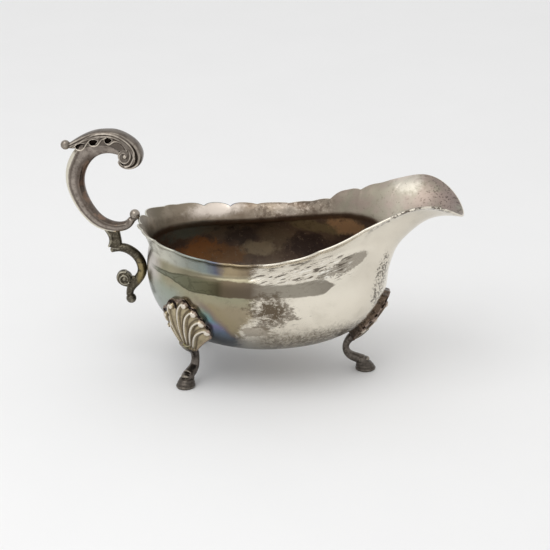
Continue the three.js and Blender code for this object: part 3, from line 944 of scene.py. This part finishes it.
# A leg stands in its own upright plane, with x out from the leg's place
FRONT_LEG = (
    (0.4, 22.2, 2.2, 3.2), (-3, 19, 2.4, 3.1), (-6.6, 16.0, 2.0, 2.4), (-8.7, 12.4, 1.6, 1.9),
    (-8.6, 9.4, 1.7, 1.9), (-6.8, 7.1, 2.0, 2.2), (-3.3, 5.6, 2.2, 2.5), (-0.6, 4.8, 2.2, 2.4))
# the rear shanks come straight down before they turn out to the hoof
REAR_LEG = (
    (0.4, 22.2, 2.2, 3.2), (-3, 19, 2.4, 3.1), (-6.2, 16.0, 2.0, 2.4), (-7.8, 12.4, 1.7, 2.0),
    (-7.7, 9.6, 1.8, 2.0), (-6.7, 7.5, 2.2, 2.2), (-4.4, 6.0, 2.6, 2.5), (-1.4, 5.0, 2.5, 2.5))
# hoof rings from the sole up: middle, height, half length, half width
HOOF = (
    (0.3, 0, 4.3, 3.9), (0.4, 0.5, 4.7, 4.3), (0.5, 1.1, 4.7, 4.3), (0.4, 1.5, 4.3, 3.9),
    (0.2, 1.9, 4.35, 3.95), (0.1, 2.5, 4.2, 3.8), (-0.1, 2.9, 3.8, 3.4), (-0.3, 3.3, 3.8, 3.5),
    (-0.7, 3.9, 3.6, 3.3), (-1.1, 4.4, 3.0, 2.9), (-1.3, 4.8, 3.1, 3.0), (-1.7, 5.6, 2.9, 2.8),
    (-2.0, 6.4, 2.3, 2.4))
HOOF_SIDES = 32


def hoof():
    """A leg's hoof, standing on its sole."""
    angle = circle(HOOF_SIDES)
    rings = np.zeros((len(HOOF), HOOF_SIDES, 3))
    for i, (middle, height, half_long, half_wide) in enumerate(HOOF):
        rings[i, :, 0] = middle + half_long * np.cos(angle)
        rings[i, :, 1] = half_wide * np.sin(angle)
        rings[i, :, 2] = height
    return lofted(rings)


def leg_piece(name, place):
    """A shank with its hoof, turned to face outwards in its place."""
    shank = FRONT_LEG if name == "front" else REAR_LEG
    tongue = ball(0.6, 0, 5.3, 1.4, (1.2, 1.5, 0.8))
    turn = place["azimuth"]
    turned = []
    for points, faces in (tube(shank, steps=120, power=2.1), hoof(), tongue):
        x = points[:, 0] * math.cos(turn) - points[:, 1] * math.sin(turn) + place["x"]
        y = points[:, 0] * math.sin(turn) + points[:, 1] * math.cos(turn) + place["y"]
        turned.append((np.stack([x, y, points[:, 2]], axis=1), faces))
    return cast(name + "_leg_cast", turned, voxel=0.2, soften=1)


# ---- materials ----

def colour(red, green, blue):
    """A node colour from screen values of 0 to 255."""
    def linear(c):
        c /= 255
        return c / 12.92 if c <= 0.04045 else ((c + 0.055) / 1.055) ** 2.4
    return (linear(red), linear(green), linear(blue), 1)


def shaded(shade, factor):
    """A darker or lighter version of a colour."""
    return [factor * c for c in shade]


class Field:
    """An output of a material's nodes, which adds, subtracts and multiplies like a number."""

    def __init__(self, paint, socket):
        self.paint = paint
        self.socket = socket

    def __add__(self, other):
        return self.paint.math("ADD", self, other)

    def __sub__(self, other):
        return self.paint.math("SUBTRACT", self, other)

    def __rsub__(self, other):
        return self.paint.math("SUBTRACT", other, self)

    def __mul__(self, other):
        return self.paint.math("MULTIPLY", self, other)

    __radd__ = __add__
    __rmul__ = __mul__


class Paint:
    """One material's nodes. Places are in millimetres in the shared frame, and colours are screen values or
    fields."""

    def __init__(self, name):
        self.material = bpy.data.materials.new(name)
        self.material.use_nodes = True
        self.tree = self.material.node_tree
        coordinates = self.node("ShaderNodeTexCoord")
        self.place = self.field("ShaderNodeVectorMath", {0: Field(self, coordinates.outputs["Object"]),
                                                         "Scale": 1 / MM}, operation="SCALE")
        split = self.node("ShaderNodeSeparateXYZ", {0: self.place})
        self.x, self.y, self.z = [Field(self, output) for output in split.outputs]

    def put(self, socket, value):
        if isinstance(value, Field):
            self.tree.links.new(value.socket, socket)
        else:
            socket.default_value = value

    def node(self, kind, inputs=None, **settings):
        node = self.tree.nodes.new(kind)
        for key, value in settings.items():
            setattr(node, key, value)
        for key, value in (inputs or {}).items():
            self.put(node.inputs[key], value)
        return node

    def field(self, kind, inputs, output=0, **settings):
        """One output of a new node."""
        return Field(self, self.node(kind, inputs, **settings).outputs[output])

    def math(self, operation, a, b=0.0):
        return self.field("ShaderNodeMath", {0: a, 1: b}, operation=operation)

    def larger(self, a, b):
        return self.math("MAXIMUM", a, b)

    def attribute(self, name):
        return self.field("ShaderNodeAttribute", {}, "Fac", attribute_name=name)

    def noise(self, size, detail=3.0, rough=0.55, stretch=(1, 1, 1), shift=(0, 0, 0)):
        """A cloudy field about 0.5 whose patches measure about size millimetres."""
        place = self.field("ShaderNodeMapping", {"Vector": self.place, "Scale": stretch, "Location": shift})
        return self.cloudy(place, 1 / size, detail, rough)

    def cloudy(self, place, scale, detail, rough):
        return self.field("ShaderNodeTexNoise", {"Vector": place, "Scale": scale, "Detail": detail,
                                                 "Roughness": rough})

    def step(self, low, high, value):
        """A smooth step from 0 at low to 1 at high."""
        return self.field("ShaderNodeMapRange", {"Value": value, "From Min": low, "From Max": high},
                          interpolation_type="SMOOTHSTEP")

    def between(self, low, high, soft, value):
        """1 where a value lies between two others."""
        return self.step(low - soft, low + soft, value) * self.step(high + soft, high - soft, value)

    def swing(self, field, amount):
        """A noise field turned into a swing about zero."""
        return (field - 0.5) * (2 * amount)

    def patch(self, x, z, across, up, slope=0.0, ragged=0.5, soft=0.4, grain=None):
        """A ragged oval patch seen from the side: 1 inside, 0 outside."""
        dx = self.x - x
        dz = self.z - z
        u = dx * (math.cos(slope) / across) + dz * (math.sin(slope) / across)
        v = dx * (-math.sin(slope) / up) + dz * (math.cos(slope) / up)
        grain = grain or self.noise(min(across, up) * 0.8, 5, 0.6)
        reach = self.math("SQRT", u * u + v * v) + self.swing(grain, ragged)
        return self.step(1 + soft / 2, 1 - soft / 2, reach)

    def tone(self, shade):
        return shade if isinstance(shade, Field) else colour(*shade)

    def mix(self, share, a, b):
        """Colour a, with a share of colour b over it."""
        return self.field("ShaderNodeMix", {0: share, 6: self.tone(a), 7: self.tone(b)}, 2, data_type="RGBA")

    def layers(self, base, *layers):
        """Layers laid over a base one after another, each a colour and its share."""
        for shade, share in layers:
            base = self.mix(share, base, shade)
        return base

    def along(self, value, *stops):
        """Colours along a value. Each stop is the value and its colour."""
        low = stops[0][0]
        high = stops[-1][0]
        share = self.field("ShaderNodeMapRange", {"Value": value, "From Min": low, "From Max": high})
        ramp = self.node("ShaderNodeValToRGB", {0: share})
        elements = ramp.color_ramp.elements
        elements.remove(elements[0])
        elements[0].position = 0
        elements[0].color = colour(*stops[0][1])
        for at, shade in stops[1:]:
            elements.new((at - low) / (high - low)).color = colour(*shade)
        return Field(self, ramp.outputs[0])

    def finish(self, base, roughness, metallic=1.0, bump=None, depth=0.1):
        shader = self.tree.nodes["Principled BSDF"]
        self.put(shader.inputs["Base Color"], base)
        self.put(shader.inputs["Roughness"], roughness)
        self.put(shader.inputs["Metallic"], metallic)
        if bump is not None:
            bumps = self.field("ShaderNodeBump", {"Height": bump, "Strength": 1.0, "Distance": depth * MM})
            self.put(shader.inputs["Normal"], bumps)
        return self.material


# ---- the bowl's outside ----

def bright_silver(p):
    base = p.mix(p.step(0.35, 0.7, p.noise(30, 3)), (234, 227, 212), (222, 214, 199))
    return p.mix(p.step(0.5, 0.75, p.cloud) * 0.3, base, (190, 182, 166))


def belly_tarnish(p):
    """Bands of tarnish that lie aslant below the shoulder, with a bluish ring and a pale grey left end."""
    aslant = p.x * 0.74 + p.z * 0.67 + p.swing(p.cloud, 2.2)
    bands = p.along(
        aslant, (-24, (146, 144, 140)), (-14, (142, 143, 139)), (-8, (146, 151, 145)), (-3, (166, 163, 152)),
        (3, (160, 160, 141)), (6, (142, 150, 132)), (8, (122, 142, 130)), (9.8, (104, 118, 122)),
        (11.4, (116, 106, 108)), (13.4, (138, 124, 110)), (15.5, (152, 140, 112)), (20, (154, 142, 118)),
        (27, (156, 144, 121)), (36, (150, 137, 118)))
    ring = p.along(
        p.z + p.swing(p.cloud, 2), (26, (118, 126, 130)), (31, (112, 128, 148)), (34.5, (124, 120, 152)),
        (38, (112, 146, 150)), (41.5, (134, 152, 138)), (45, (162, 150, 130)))
    pale = p.mix(p.step(0.4, 0.6, p.cloud), (150, 148, 124), (158, 152, 128))
    return p.layers(
        bands,
        (ring, p.between(4, 12, 1.6, aslant)),
        (pale, p.step(44, 49, p.z + p.swing(p.cloud, 3)) * 0.85),
        ((196, 190, 182), p.step(-42, -48, p.x) * p.step(45, 53, p.z)),
        ((152, 164, 156), p.between(-48, -34, 4, p.x) * p.between(37, 50, 3, p.z) * 0.6))


def tarnish(p):
    """The coloured tarnish of the belly and of the flare above it."""
    flare = p.along(
        p.x + p.swing(p.cloud, 4), (-52, (206, 203, 190)), (-42, (196, 194, 180)), (-31, (148, 152, 144)),
        (-22, (136, 146, 142)), (-17, (104, 108, 124)), (-15.2, (124, 116, 114)), (-13, (168, 152, 122)),
        (-8, (170, 153, 124)), (-4, (156, 140, 116)), (-1, (128, 114, 98)), (6, (148, 136, 120)))
    return p.layers(
        belly_tarnish(p),
        (flare, p.step(-1.5, 1.5, p.neck + p.swing(p.cloud, 1.5))),
        ((112, 104, 88), p.step(0.5, 0.64, p.noise(4, 6, 0.72, shift=(1, 1, 3))) * 0.22),
        ((196, 190, 172), p.step(0.64, 0.7, p.noise(1.1, 4, 0.7, shift=(8, 1, 3))) * 0.5))


def tarnished_end(p):
    """1 towards the handle, where the tarnish lies, and 0 towards the lip, with a ragged limit."""
    limit = p.x + p.swing(p.cloud, 7) + p.swing(p.flecks, 5) + p.larger(45.0 - p.z, 0.0) * 0.4
    limit = limit + p.swing(p.noise(24, 2), 16) * (1 - p.near)
    return p.step(3, -2.5, limit)


def shoulder_reflection(p, base):
    """Painted reflection: a dark strip on the shoulder, with a dark verge near the handle. Returns the colour
    and the strip.
    """
    middle = 54.0 + p.step(-24, -42, p.x) * 1.2 + p.step(15, 33, p.x) * 0.9
    half = (0.28 + p.step(-42, -27, p.x) * 0.72) * (1 - p.step(29, 36.5, p.x)) * 3.35
    half = half * (1 - p.between(0, 18, 4, p.x) * 0.14)
    off = p.math("ABSOLUTE", p.z - middle)
    past = off - half
    ragged = past + p.swing(p.noise(5, 3), 0.9)
    handle_end = p.step(-50, -44, p.x)
    # where the painted reflection lies along the shoulder
    reflection_band = p.step(0.35, -0.35, ragged) * handle_end * p.step(36, 34, p.x) * (0.35 + p.near * 0.65)
    reflection_tones = p.along(
        p.x, (-46, (128, 130, 114)), (-32, (108, 108, 88)), (-21, (92, 89, 68)), (-16.5, (68, 62, 45)),
        (-13.5, (94, 82, 66)), (-2, (96, 84, 72)), (2, (132, 123, 110)), (10, (148, 141, 128)),
        (23, (151, 144, 131)), (34, (134, 127, 115)))
    reflection_tones = p.mix(p.step(0.55, 0.72, p.flecks) * p.step(0, 6, p.x) * 0.6, reflection_tones, (104, 96, 86))
    ripple = p.between(-0.35, 0.35, 0.3, off - half * 0.5 + p.swing(p.cloud, 7)) * p.step(0, -0.3, past) * 0.6
    verge = p.larger(p.between(-0.45, 0.1, 0.25, ragged), ripple)
    verge = verge * handle_end * p.step(-12, -18, p.x) * p.near * 0.6
    # the painted reflection, then its dark verge
    return p.layers(base, (reflection_tones, reflection_band * 0.95), ((66, 64, 50), verge)), reflection_band


def neck_shadows(p, base, reflection_band):
    """Painted shade along the neck's crease and below it, and painted reflection and shade of the handle at
    the back.
    """
    # painted shade just below the neck's crease
    shade = p.between(-5.5, -2, 1, p.neck) * p.between(-26, -4, 4, p.x) * p.near * 0.65
    # painted reflection and shade of the dark handle, on the bowl's back behind it
    handle_reflection = p.step(-51.2, -52.2, p.x + p.swing(p.flecks, 1.4)) * p.between(38, 67, 3, p.z)
    return p.layers(
        base,
        # painted shade in the crease
        ((118, 110, 92), p.between(-2.8, -0.3, 0.6, p.neck) * p.between(-34, -16, 4, p.x) * 0.6),
        ((92, 84, 64), shade * (1 - reflection_band)),
        ((52, 50, 42), handle_reflection * 0.85))


def near_stains(p, base):
    """The ragged brown stain with its smear below, the grey spill near the lip, and the drip under it."""
    drawn_out = p.noise(3.2, 6, 0.72, stretch=(0.55, 0.55, 1.2), shift=(0, 0, 7))
    stain = p.patch(8.5, 44.5, 9, 7.6, slope=-0.3, ragged=2.1, soft=0.5, grain=drawn_out)
    core = p.patch(7.5, 45, 6, 5, slope=-0.3, ragged=1.2, soft=0.8, grain=drawn_out)
    holes = p.step(0.4, 0.5, p.noise(1.7, 5, 0.7, shift=(4, 4, 0)))
    smear = p.patch(0, 33, 8, 2.6, slope=-0.1, ragged=2.3, soft=0.5, grain=drawn_out)
    spill = p.patch(41.5, 63.2, 7.5, 3.0, slope=0.34, ragged=0.55, soft=0.15, grain=p.flecks)
    tail = p.patch(33, 60.6, 6, 1.8, slope=0.3, ragged=1.6, soft=0.2, grain=p.flecks)
    drip = p.patch(54.6, 51, 2.4, 12, slope=-0.2, ragged=1.0, soft=0.3, grain=p.flecks)
    drip = drip * p.step(0.46, 0.56, p.noise(1.1, 4, 0.7, shift=(3, 0, 0)))
    return p.layers(
        base,
        ((97, 85, 70), stain * p.near * (core * 0.22 + holes * 0.48 + 0.28)),
        ((128, 116, 100), smear * p.near * 0.6),
        ((158, 150, 137), p.larger(spill, tail) * p.near * 0.9),
        ((84, 77, 68), drip * p.near * 0.9))


def flare_streaks(p, base):
    """Dark and bright streaks drawn out along the flare."""
    drawn = p.field("ShaderNodeCombineXYZ", {0: p.x * 0.16, 1: p.y * 0.1, 2: p.z - p.x * 0.24})
    lines = p.cloudy(drawn, 1.1, 4.0, 0.7)
    zone = p.between(-2, 42, 3, p.x) * p.between(56.5, 67, 2.5, p.z - p.x * 0.03)
    return p.layers(
        base,
        ((88, 78, 68), p.step(0.53, 0.59, lines) * zone * 0.9),
        ((244, 240, 230), p.step(0.45, 0.36, lines) * zone * 0.9))


def lip_dashes(p, base):
    """Dark dashes under the lip's edge, and a broken dark seam along the rim."""
    below_rim = p.math("ABSOLUTE", p.rim - (84.5 - p.x) * 0.19)
    spread = 1.4 + p.between(56, 72, 3, p.x) * 3.0
    dashes = p.step(0.5, 0, below_rim + p.swing(p.flecks, 1.4) - spread) * p.near * p.between(50, 84, 3, p.x)
    dashes = dashes * p.step(0.47, 0.54, p.noise(2.2, 5, 0.75, shift=(0, 6, 0)))
    seam = p.between(0.3, 1.3, 0.3, p.rim) * p.step(0.48, 0.62, p.flecks)
    return p.layers(base, ((80, 68, 58), dashes * 0.9), ((96, 82, 66), seam * 0.8))


def underside(p, base):
    """Pits, speckles and blotches low down, and painted shade over the underside for the shadow it reflects.
    Returns the colour and how much each point belongs to the low part.
    """
    low = p.step(37, 27, p.z + p.swing(p.flecks, 7) + p.swing(p.cloud, 5))
    speckled = low * (0.45 + p.step(0.4, 0.6, p.noise(1.3, 5, 0.7)) * 0.45)
    blotch = p.step(35, 27, p.z + p.swing(p.flecks, 6)) * p.step(0.46, 0.56, p.noise(2.8, 6, 0.75))
    # painted shade: the underside darkened for the shadow it reflects, most towards the handle end
    under = p.step(36, 25, p.z + p.swing(p.cloud, 3)) * (0.05 + p.step(14, -16, p.x) * 0.85)
    shade = p.mix(p.step(-4, 10, p.x), (50, 54, 60), (112, 105, 93))
    base = p.layers(
        base,
        ((120, 110, 98), p.step(0.68, 0.76, p.fine) * p.step(0.45, 0.7, p.cloud) * 0.6),
        ((132, 123, 108), speckled * p.step(-6, 6, p.x)),
        ((96, 86, 74), blotch * p.step(-2, 8, p.x) * 0.6),
        # then the painted shade over the underside
        (shade, under * (1 - p.step(-30, -42, p.x) * 0.3)))
    return base, low


def bowl_outside():
    """Cream silver that turns brown, violet, blue and grey-green towards the handle, with dark stains, and
    with painted shade and reflections on the shoulder, the neck and the underside.
    """
    p = Paint("bowl_outside_silver")
    p.neck = p.attribute("neck_mm")
    p.rim = p.attribute("rim_mm")
    p.near = p.step(3, -3, p.y)
    p.cloud = p.noise(9, 4)
    p.flecks = p.noise(1.6, 5, 0.7)
    p.fine = p.noise(0.7, 3, 0.6)
    tarnished = tarnished_end(p)
    base = p.mix(tarnished, bright_silver(p), tarnish(p))
    # the painted reflection along the shoulder, then painted shade at the neck
    base, reflection_band = shoulder_reflection(p, base)
    base = neck_shadows(p, base, reflection_band)
    base = near_stains(p, base)
    base = flare_streaks(p, base)
    base = lip_dashes(p, base)
    base, low = underside(p, base)
    rough = 0.2 + (tarnished + reflection_band + low) * 0.08
    return p.finish(base, rough, bump=p.fine * 0.4 + p.noise(3, 3), depth=0.035)


# ---- the bowl's inside ----

# soft stains below the flare: x, z, half width, half height, colour, share
INSIDE_STAINS = (
    (-36, 56.5, 10, 4.5, (146, 164, 158), 0.9), (-22, 54, 10, 5, (158, 152, 134), 0.6),
    (-33, 44, 10, 7, (196, 142, 92), 0.85), (-21, 41, 10, 5, (172, 134, 98), 0.7),
    (-13, 50, 8, 5, (96, 90, 88), 0.85), (-4, 43.5, 8, 3.6, (196, 184, 158), 0.8),
    (4, 51, 9, 5, (158, 148, 126), 0.6), (20, 47, 11, 7, (92, 82, 80), 0.9),
    (24, 57.5, 14, 3, (178, 170, 134), 0.8), (38, 60.5, 9, 4.5, (236, 204, 162), 0.9))


def inside_hollow(p):
    """Brown with soft stains, and specks."""
    base = p.mix(p.step(0.35, 0.65, p.cloud), (120, 106, 98), (146, 132, 116))
    for x, z, across, up, shade, share in INSIDE_STAINS:
        stain = p.patch(x, z, across, up, ragged=1.3, soft=0.7, grain=p.ragged)
        base = p.mix(stain * share, base, shade)
    return p.layers(
        base,
        ((186, 174, 154), p.step(0.58, 0.72, p.flecks) * 0.55),
        ((88, 78, 74), p.step(0.44, 0.32, p.ragged) * 0.5),
        ((216, 206, 188), p.step(0.66, 0.71, p.noise(0.9, 3, 0.6)) * p.far * 0.5),
        ((124, 104, 92), p.step(32, 20, p.z) * 0.4))


def inside_flare(p):
    """The satin flare and lip, mottled and speckled, with painted highlights on the lip, at the back and
    in the middle.
    """
    # tones along the flare; the brighter ones near x -27 and x 62 are painted highlights
    tones = p.along(
        p.x, (-60, (128, 120, 110)), (-50, (116, 108, 94)), (-40, (146, 134, 118)), (-27, (170, 156, 138)),
        (-14, (136, 121, 105)), (0, (124, 109, 93)), (9, (116, 102, 90)), (20, (110, 98, 86)),
        (29, (130, 119, 106)), (48, (164, 153, 138)), (62, (206, 196, 182)), (72, (172, 161, 147)),
        (80, (146, 134, 124)), (92, (160, 154, 147)))
    # painted highlight on the lip
    lip_highlight = p.patch(64.5, 87.5, 6.5, 4, ragged=0.8, soft=1, grain=p.flecks) * p.step(-2, 6, p.y)
    rough_zone = p.between(-8, 30, 5, p.x)
    tint = p.mix(p.step(0.4, 0.6, p.noise(13, 4, shift=(2, 8, 0))), (148, 150, 132), (168, 146, 142))
    spots = p.noise(1.2, 4, 0.7, shift=(9, 2, 0))
    verge = p.step(7, 2, p.attribute("rim_mm") + p.swing(p.ragged, 6)) * p.step(62, 76, p.x)
    # painted highlights at the back and in the middle
    back_highlight = p.patch(-25, 65, 11, 3, ragged=0.5, soft=1, grain=p.flecks)
    middle_highlight = p.patch(8, 64.5, 6, 2.4, ragged=0.7, grain=p.flecks)
    return p.layers(
        tones,
        ((176, 164, 148), p.step(0.42, 0.66, p.cloud) * 0.45),
        ((108, 94, 80), p.step(0.56, 0.7, p.flecks) * 0.35),
        # the painted highlight on the lip
        ((252, 244, 232), lip_highlight * 0.7),
        ((206, 192, 178), p.step(0.52, 0.6, p.noise(1.8, 5, 0.72)) * rough_zone * 0.38),
        ((92, 78, 66), p.step(0.5, 0.42, p.noise(2.4, 5, 0.72, shift=(5, 0, 0))) * rough_zone * 0.6),
        (tint, p.step(26, 40, p.x) * 0.35),
        ((128, 114, 112), verge * p.step(0.4, 0.6, p.ragged) * 0.5),
        ((70, 60, 52), p.step(0.55, 0.62, spots) * p.step(66, 78, p.x + p.swing(p.ragged, 16)) * 0.8),
        ((104, 92, 80), p.step(0.62, 0.68, spots) * p.step(28, 44, p.x) * 0.6),
        # the painted highlights at the back and in the middle
        ((246, 234, 222), back_highlight * p.far * 0.85),
        ((196, 186, 172), middle_highlight * p.far * 0.35))


def bowl_inside():
    """Brown inside, with orange, green and tan stains, and a paler satin flare over painted shade in the
    crease.
    """
    p = Paint("bowl_inside_silver")
    p.cloud = p.noise(11, 4)
    p.flecks = p.noise(2.2, 5, 0.65)
    p.ragged = p.noise(6, 6, 0.7)
    p.far = p.step(-3, 3, p.y)
    up = p.attribute("neck_mm") + p.swing(p.cloud, 0.8)
    base = p.layers(
        inside_hollow(p),
        (inside_flare(p), p.step(-0.6, 1.6, up)),
        # painted shade along the crease under the flare
        ((96, 76, 58), p.between(-1.7, 0.5, 0.7, up) * 0.75))
    rough = 0.32 + p.flecks * 0.16 + p.step(40, 60, p.x) * 0.06
    return p.finish(base, rough, bump=p.flecks + p.noise(0.8, 3), depth=0.05)


# ---- cast silver, floor ----

def cast_silver(name, dark, middle, light, low=-0.16, high=0.16):
    """Cast silver, with painted shade in its grooves and painted highlights along its ridges: the paint,
    colour and roughness.
    """
    p = Paint(name)
    p.cloud = p.noise(4.5, 4, 0.6)
    p.grain = p.noise(1.0, 4, 0.65)
    level = p.attribute("relief") + p.swing(p.cloud, 0.05) + p.swing(p.grain, 0.05)
    base = p.layers(
        p.mix(p.step(0.4, 0.66, p.cloud), middle, p.mix(0.35, middle, dark)),
        # the dark colour as painted shade in the grooves, the light one as painted highlights on the ridges
        (dark, p.step(-0.03, low, level)),
        (light, p.step(0.04, high, level)),
        (dark, p.step(0.55, 0.7, p.grain) * 0.35))
    return p, base, 0.28 + p.cloud * 0.1


def handle_scroll_silver():
    p, base, rough = cast_silver("handle_scroll_silver", (64, 55, 49), (156, 146, 137), (206, 197, 182), -0.2,
                                 0.24)
    outer = p.attribute("outer")
    coarse = p.noise(2.2, 5, 0.72)
    # how far towards the scroll's back, for the painted highlight there and the painted shade inside
    towards_back = outer + p.swing(p.cloud, 0.12)
    base = p.layers(
        base,
        ((84, 73, 65), p.step(0.52, 0.62, coarse) * 0.5),
        ((176, 166, 154), p.step(0.46, 0.36, coarse) * 0.5),
        ((72, 62, 54), p.between(0.3, 0.52, 0.1, towards_back) * 0.6),
        # painted highlight along the scroll's back
        ((222, 216, 200), p.step(0.56, 0.68, towards_back) * 0.95),
        # painted shade along the inner side
        ((74, 62, 54), p.step(0.05, -0.35, towards_back) * 0.7),
        ((150, 124, 106), p.step(-0.3, -0.7, outer) * p.step(0.48, 0.6, p.noise(3, 4)) * 0.55),
        ((200, 160, 96), p.patch(-64.5, 64.8, 4.5, 1.2, ragged=0.3) * 0.7))
    return p.finish(base, rough, bump=p.grain, depth=0.08)


def handle_leaf_silver():
    p, base, rough = cast_silver("handle_leaf_silver", (52, 44, 38), (124, 116, 108), (208, 198, 184), -0.12,
                                 0.12)
    base = p.layers(
        base,
        ((88, 78, 70), p.step(0.45, 0.6, p.cloud) * 0.4),
        # painted shade in the teardrop hollows
        ((22, 17, 14), p.step(0.1, 0.6, p.attribute("teardrop_shade"))),
        ((170, 146, 72), p.patch(-69.6, 105.6, 1.6, 1.2, ragged=0.4) * 0.75))
    return p.finish(base, rough, bump=p.grain, depth=0.06)


def handle_bracket_silver():
    p, base, rough = cast_silver("handle_bracket_silver", (48, 43, 36), (84, 78, 66), (196, 190, 172))
    # a yellowish painted highlight on the lower scroll's right side
    right_highlight = p.step(-58.5, -56.5, p.x) * p.step(0.35, 0.5, p.noise(3, 3)) * p.between(40, 52, 2, p.z)
    base = p.layers(
        base,
        ((146, 138, 120), p.step(0.5, 0.62, p.grain) * 0.45),
        ((48, 43, 36), p.step(0.5, 0.4, p.noise(2.4, 5, 0.7)) * 0.45),
        ((180, 162, 112), right_highlight * 0.5))
    return p.finish(base, rough, bump=p.grain, depth=0.08)


def shell_silver(name, flute, wall, crest_highlight):
    """The shell's flutes and walls, with painted highlights on the tops of its ribs and knobs, and painted
    shade beside the ribs and in the hollows.
    """
    p = Paint(name)
    cloud = p.noise(3.2, 4, 0.6)
    grain = p.noise(0.9, 4, 0.65)
    edge = p.mix(p.step(0.42, 0.6, grain), (160, 142, 130), (104, 90, 80))
    face = p.layers(
        flute,
        (shaded(flute, 0.88), p.step(0.4, 0.62, cloud)),
        (shaded(flute, 0.6), p.step(0.55, 0.7, grain) * 0.4),
        (edge, p.attribute("border") * 0.9),
        # painted shade beside the ribs and in the hollows, then painted highlights on the tops of ribs and
        # knobs
        ((66, 52, 42), p.attribute("foot_shade") * 0.75),
        ((36, 27, 22), p.step(0.1, 0.45, p.attribute("hollow"))),
        (crest_highlight, p.step(0.2, 0.7, p.attribute("crest_highlight") + p.swing(grain, 0.3))))
    walls = p.layers(
        wall,
        (shaded(wall, 0.62), p.step(0.4, 0.62, cloud)),
        (shaded(wall, 1.45), p.step(0.5, 0.66, grain) * 0.5))
    base = p.mix(p.attribute("face"), walls, face)
    return p.finish(base, 0.26 + cloud * 0.12, bump=grain + cloud, depth=0.12)


def leg_silver():
    p, base, rough = cast_silver("leg_cast_silver", (44, 39, 35), (104, 97, 91), (156, 148, 136), -0.1, 0.14)
    base = p.layers(
        base,
        ((128, 120, 110), p.step(0.52, 0.62, p.grain) * 0.4),
        ((46, 41, 37), p.step(0.5, 0.4, p.noise(2.0, 5, 0.7)) * 0.4),
        ((62, 57, 52), p.step(6, 4, p.z) * 0.5),
        ((150, 144, 98), p.step(17, 21, p.z) * p.step(0.42, 0.6, p.noise(2.5, 3)) * 0.6))
    return p.finish(base, rough, bump=p.grain, depth=0.12)


def floor_material():
    p = Paint("pale_table")
    return p.finish(p.mix(p.noise(60, 2), (240, 240, 240), (237, 237, 237)), 0.8, metallic=0.0)


# ---- the assembly ----

def place_piece(piece, node, slot, *materials):
    for material in materials:
        piece.data.materials.append(material)
    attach(piece, "root")
    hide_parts(node)


bowl, bowl_slots = bowl_piece()
place_piece(bowl, "bowl", "silver_plate", bowl_outside(), bowl_inside())
bowl.data.polygons.foreach_set("material_index", np.asarray(bowl_slots, np.int32))

bracket = handle_bracket_silver()
place_piece(main_scroll_piece(), "handle_main_scroll", "handle_silver", handle_scroll_silver())
place_piece(leaf_piece(), "handle_leaf", "handle_silver", handle_leaf_silver())
place_piece(strut_piece(), "handle_strut", "handle_silver", bracket)
place_piece(lower_scroll_piece(), "handle_lower_scroll", "handle_silver", bracket)

surface = Surface()
rear = shell_silver("rear_shell_silver", (182, 168, 138), (138, 126, 112), (224, 216, 202))
front = shell_silver("front_shell_silver", (112, 98, 84), (98, 84, 72), (206, 196, 182))
legs = leg_silver()
for name, place in PLACES.items():
    place_piece(shell_piece(name, place, surface), name + "_shell", "shell_silver",
                front if name == "front" else rear)
    place_piece(leg_piece(name, place), name + "_leg", "leg_silver", legs)


# ---- floor, light and camera ----

TABLE_HALF = 1.5          # half the table's side, metres
WORLD_STRENGTH = 0.86
CAMERA_YAW = math.radians(5)
CAMERA_RISE = math.radians(23)
CAMERA_DISTANCE = 0.9
CAMERA_AIM = (0.0059, 0, 0.0459)
CAMERA_LENS = 128.3       # focal length in millimetres, for a sensor 36 mm wide


def soft_light(name, place, aim, size, power):
    data = bpy.data.lights.new(name, "AREA")
    data.shape = "DISK"
    data.size = size
    data.energy = power
    lamp = bpy.data.objects.new(name, data)
    lamp.location = place
    lamp.rotation_euler = (Vector(aim) - Vector(place)).to_track_quat("-Z", "Y").to_euler()
    bpy.context.scene.collection.objects.link(lamp)


def studio():
    world = bpy.data.worlds.new("white_room")
    world.use_nodes = True
    background = world.node_tree.nodes["Background"]
    background.inputs["Color"].default_value = (1, 1, 1, 1)
    background.inputs["Strength"].default_value = WORLD_STRENGTH
    bpy.context.scene.world = world
    corners = np.array([(-1, -1, 0), (1, -1, 0), (1, 1, 0), (-1, 1, 0)]) * TABLE_HALF
    floor = smooth_object("table", new_mesh("table", corners, [(0, 1, 2, 3)]))
    floor.data.materials.append(floor_material())
    soft_light("window", (-0.25, -0.35, 0.75), (0, 0, 0.05), size=0.7, power=2.0)


def photo_camera():
    data = bpy.data.cameras.new("camera")
    data.sensor_width = 36
    data.lens = CAMERA_LENS
    camera = bpy.data.objects.new("camera", data)
    level = math.cos(CAMERA_RISE)
    away = Vector((math.sin(CAMERA_YAW) * level, -math.cos(CAMERA_YAW) * level, math.sin(CAMERA_RISE)))
    camera.location = Vector(CAMERA_AIM) + CAMERA_DISTANCE * away
    camera.rotation_euler = (-away).to_track_quat("-Z", "Y").to_euler()
    bpy.context.scene.collection.objects.link(camera)
    bpy.context.scene.camera = camera


studio()
photo_camera()
bpy.context.scene.view_settings.view_transform = "Standard"
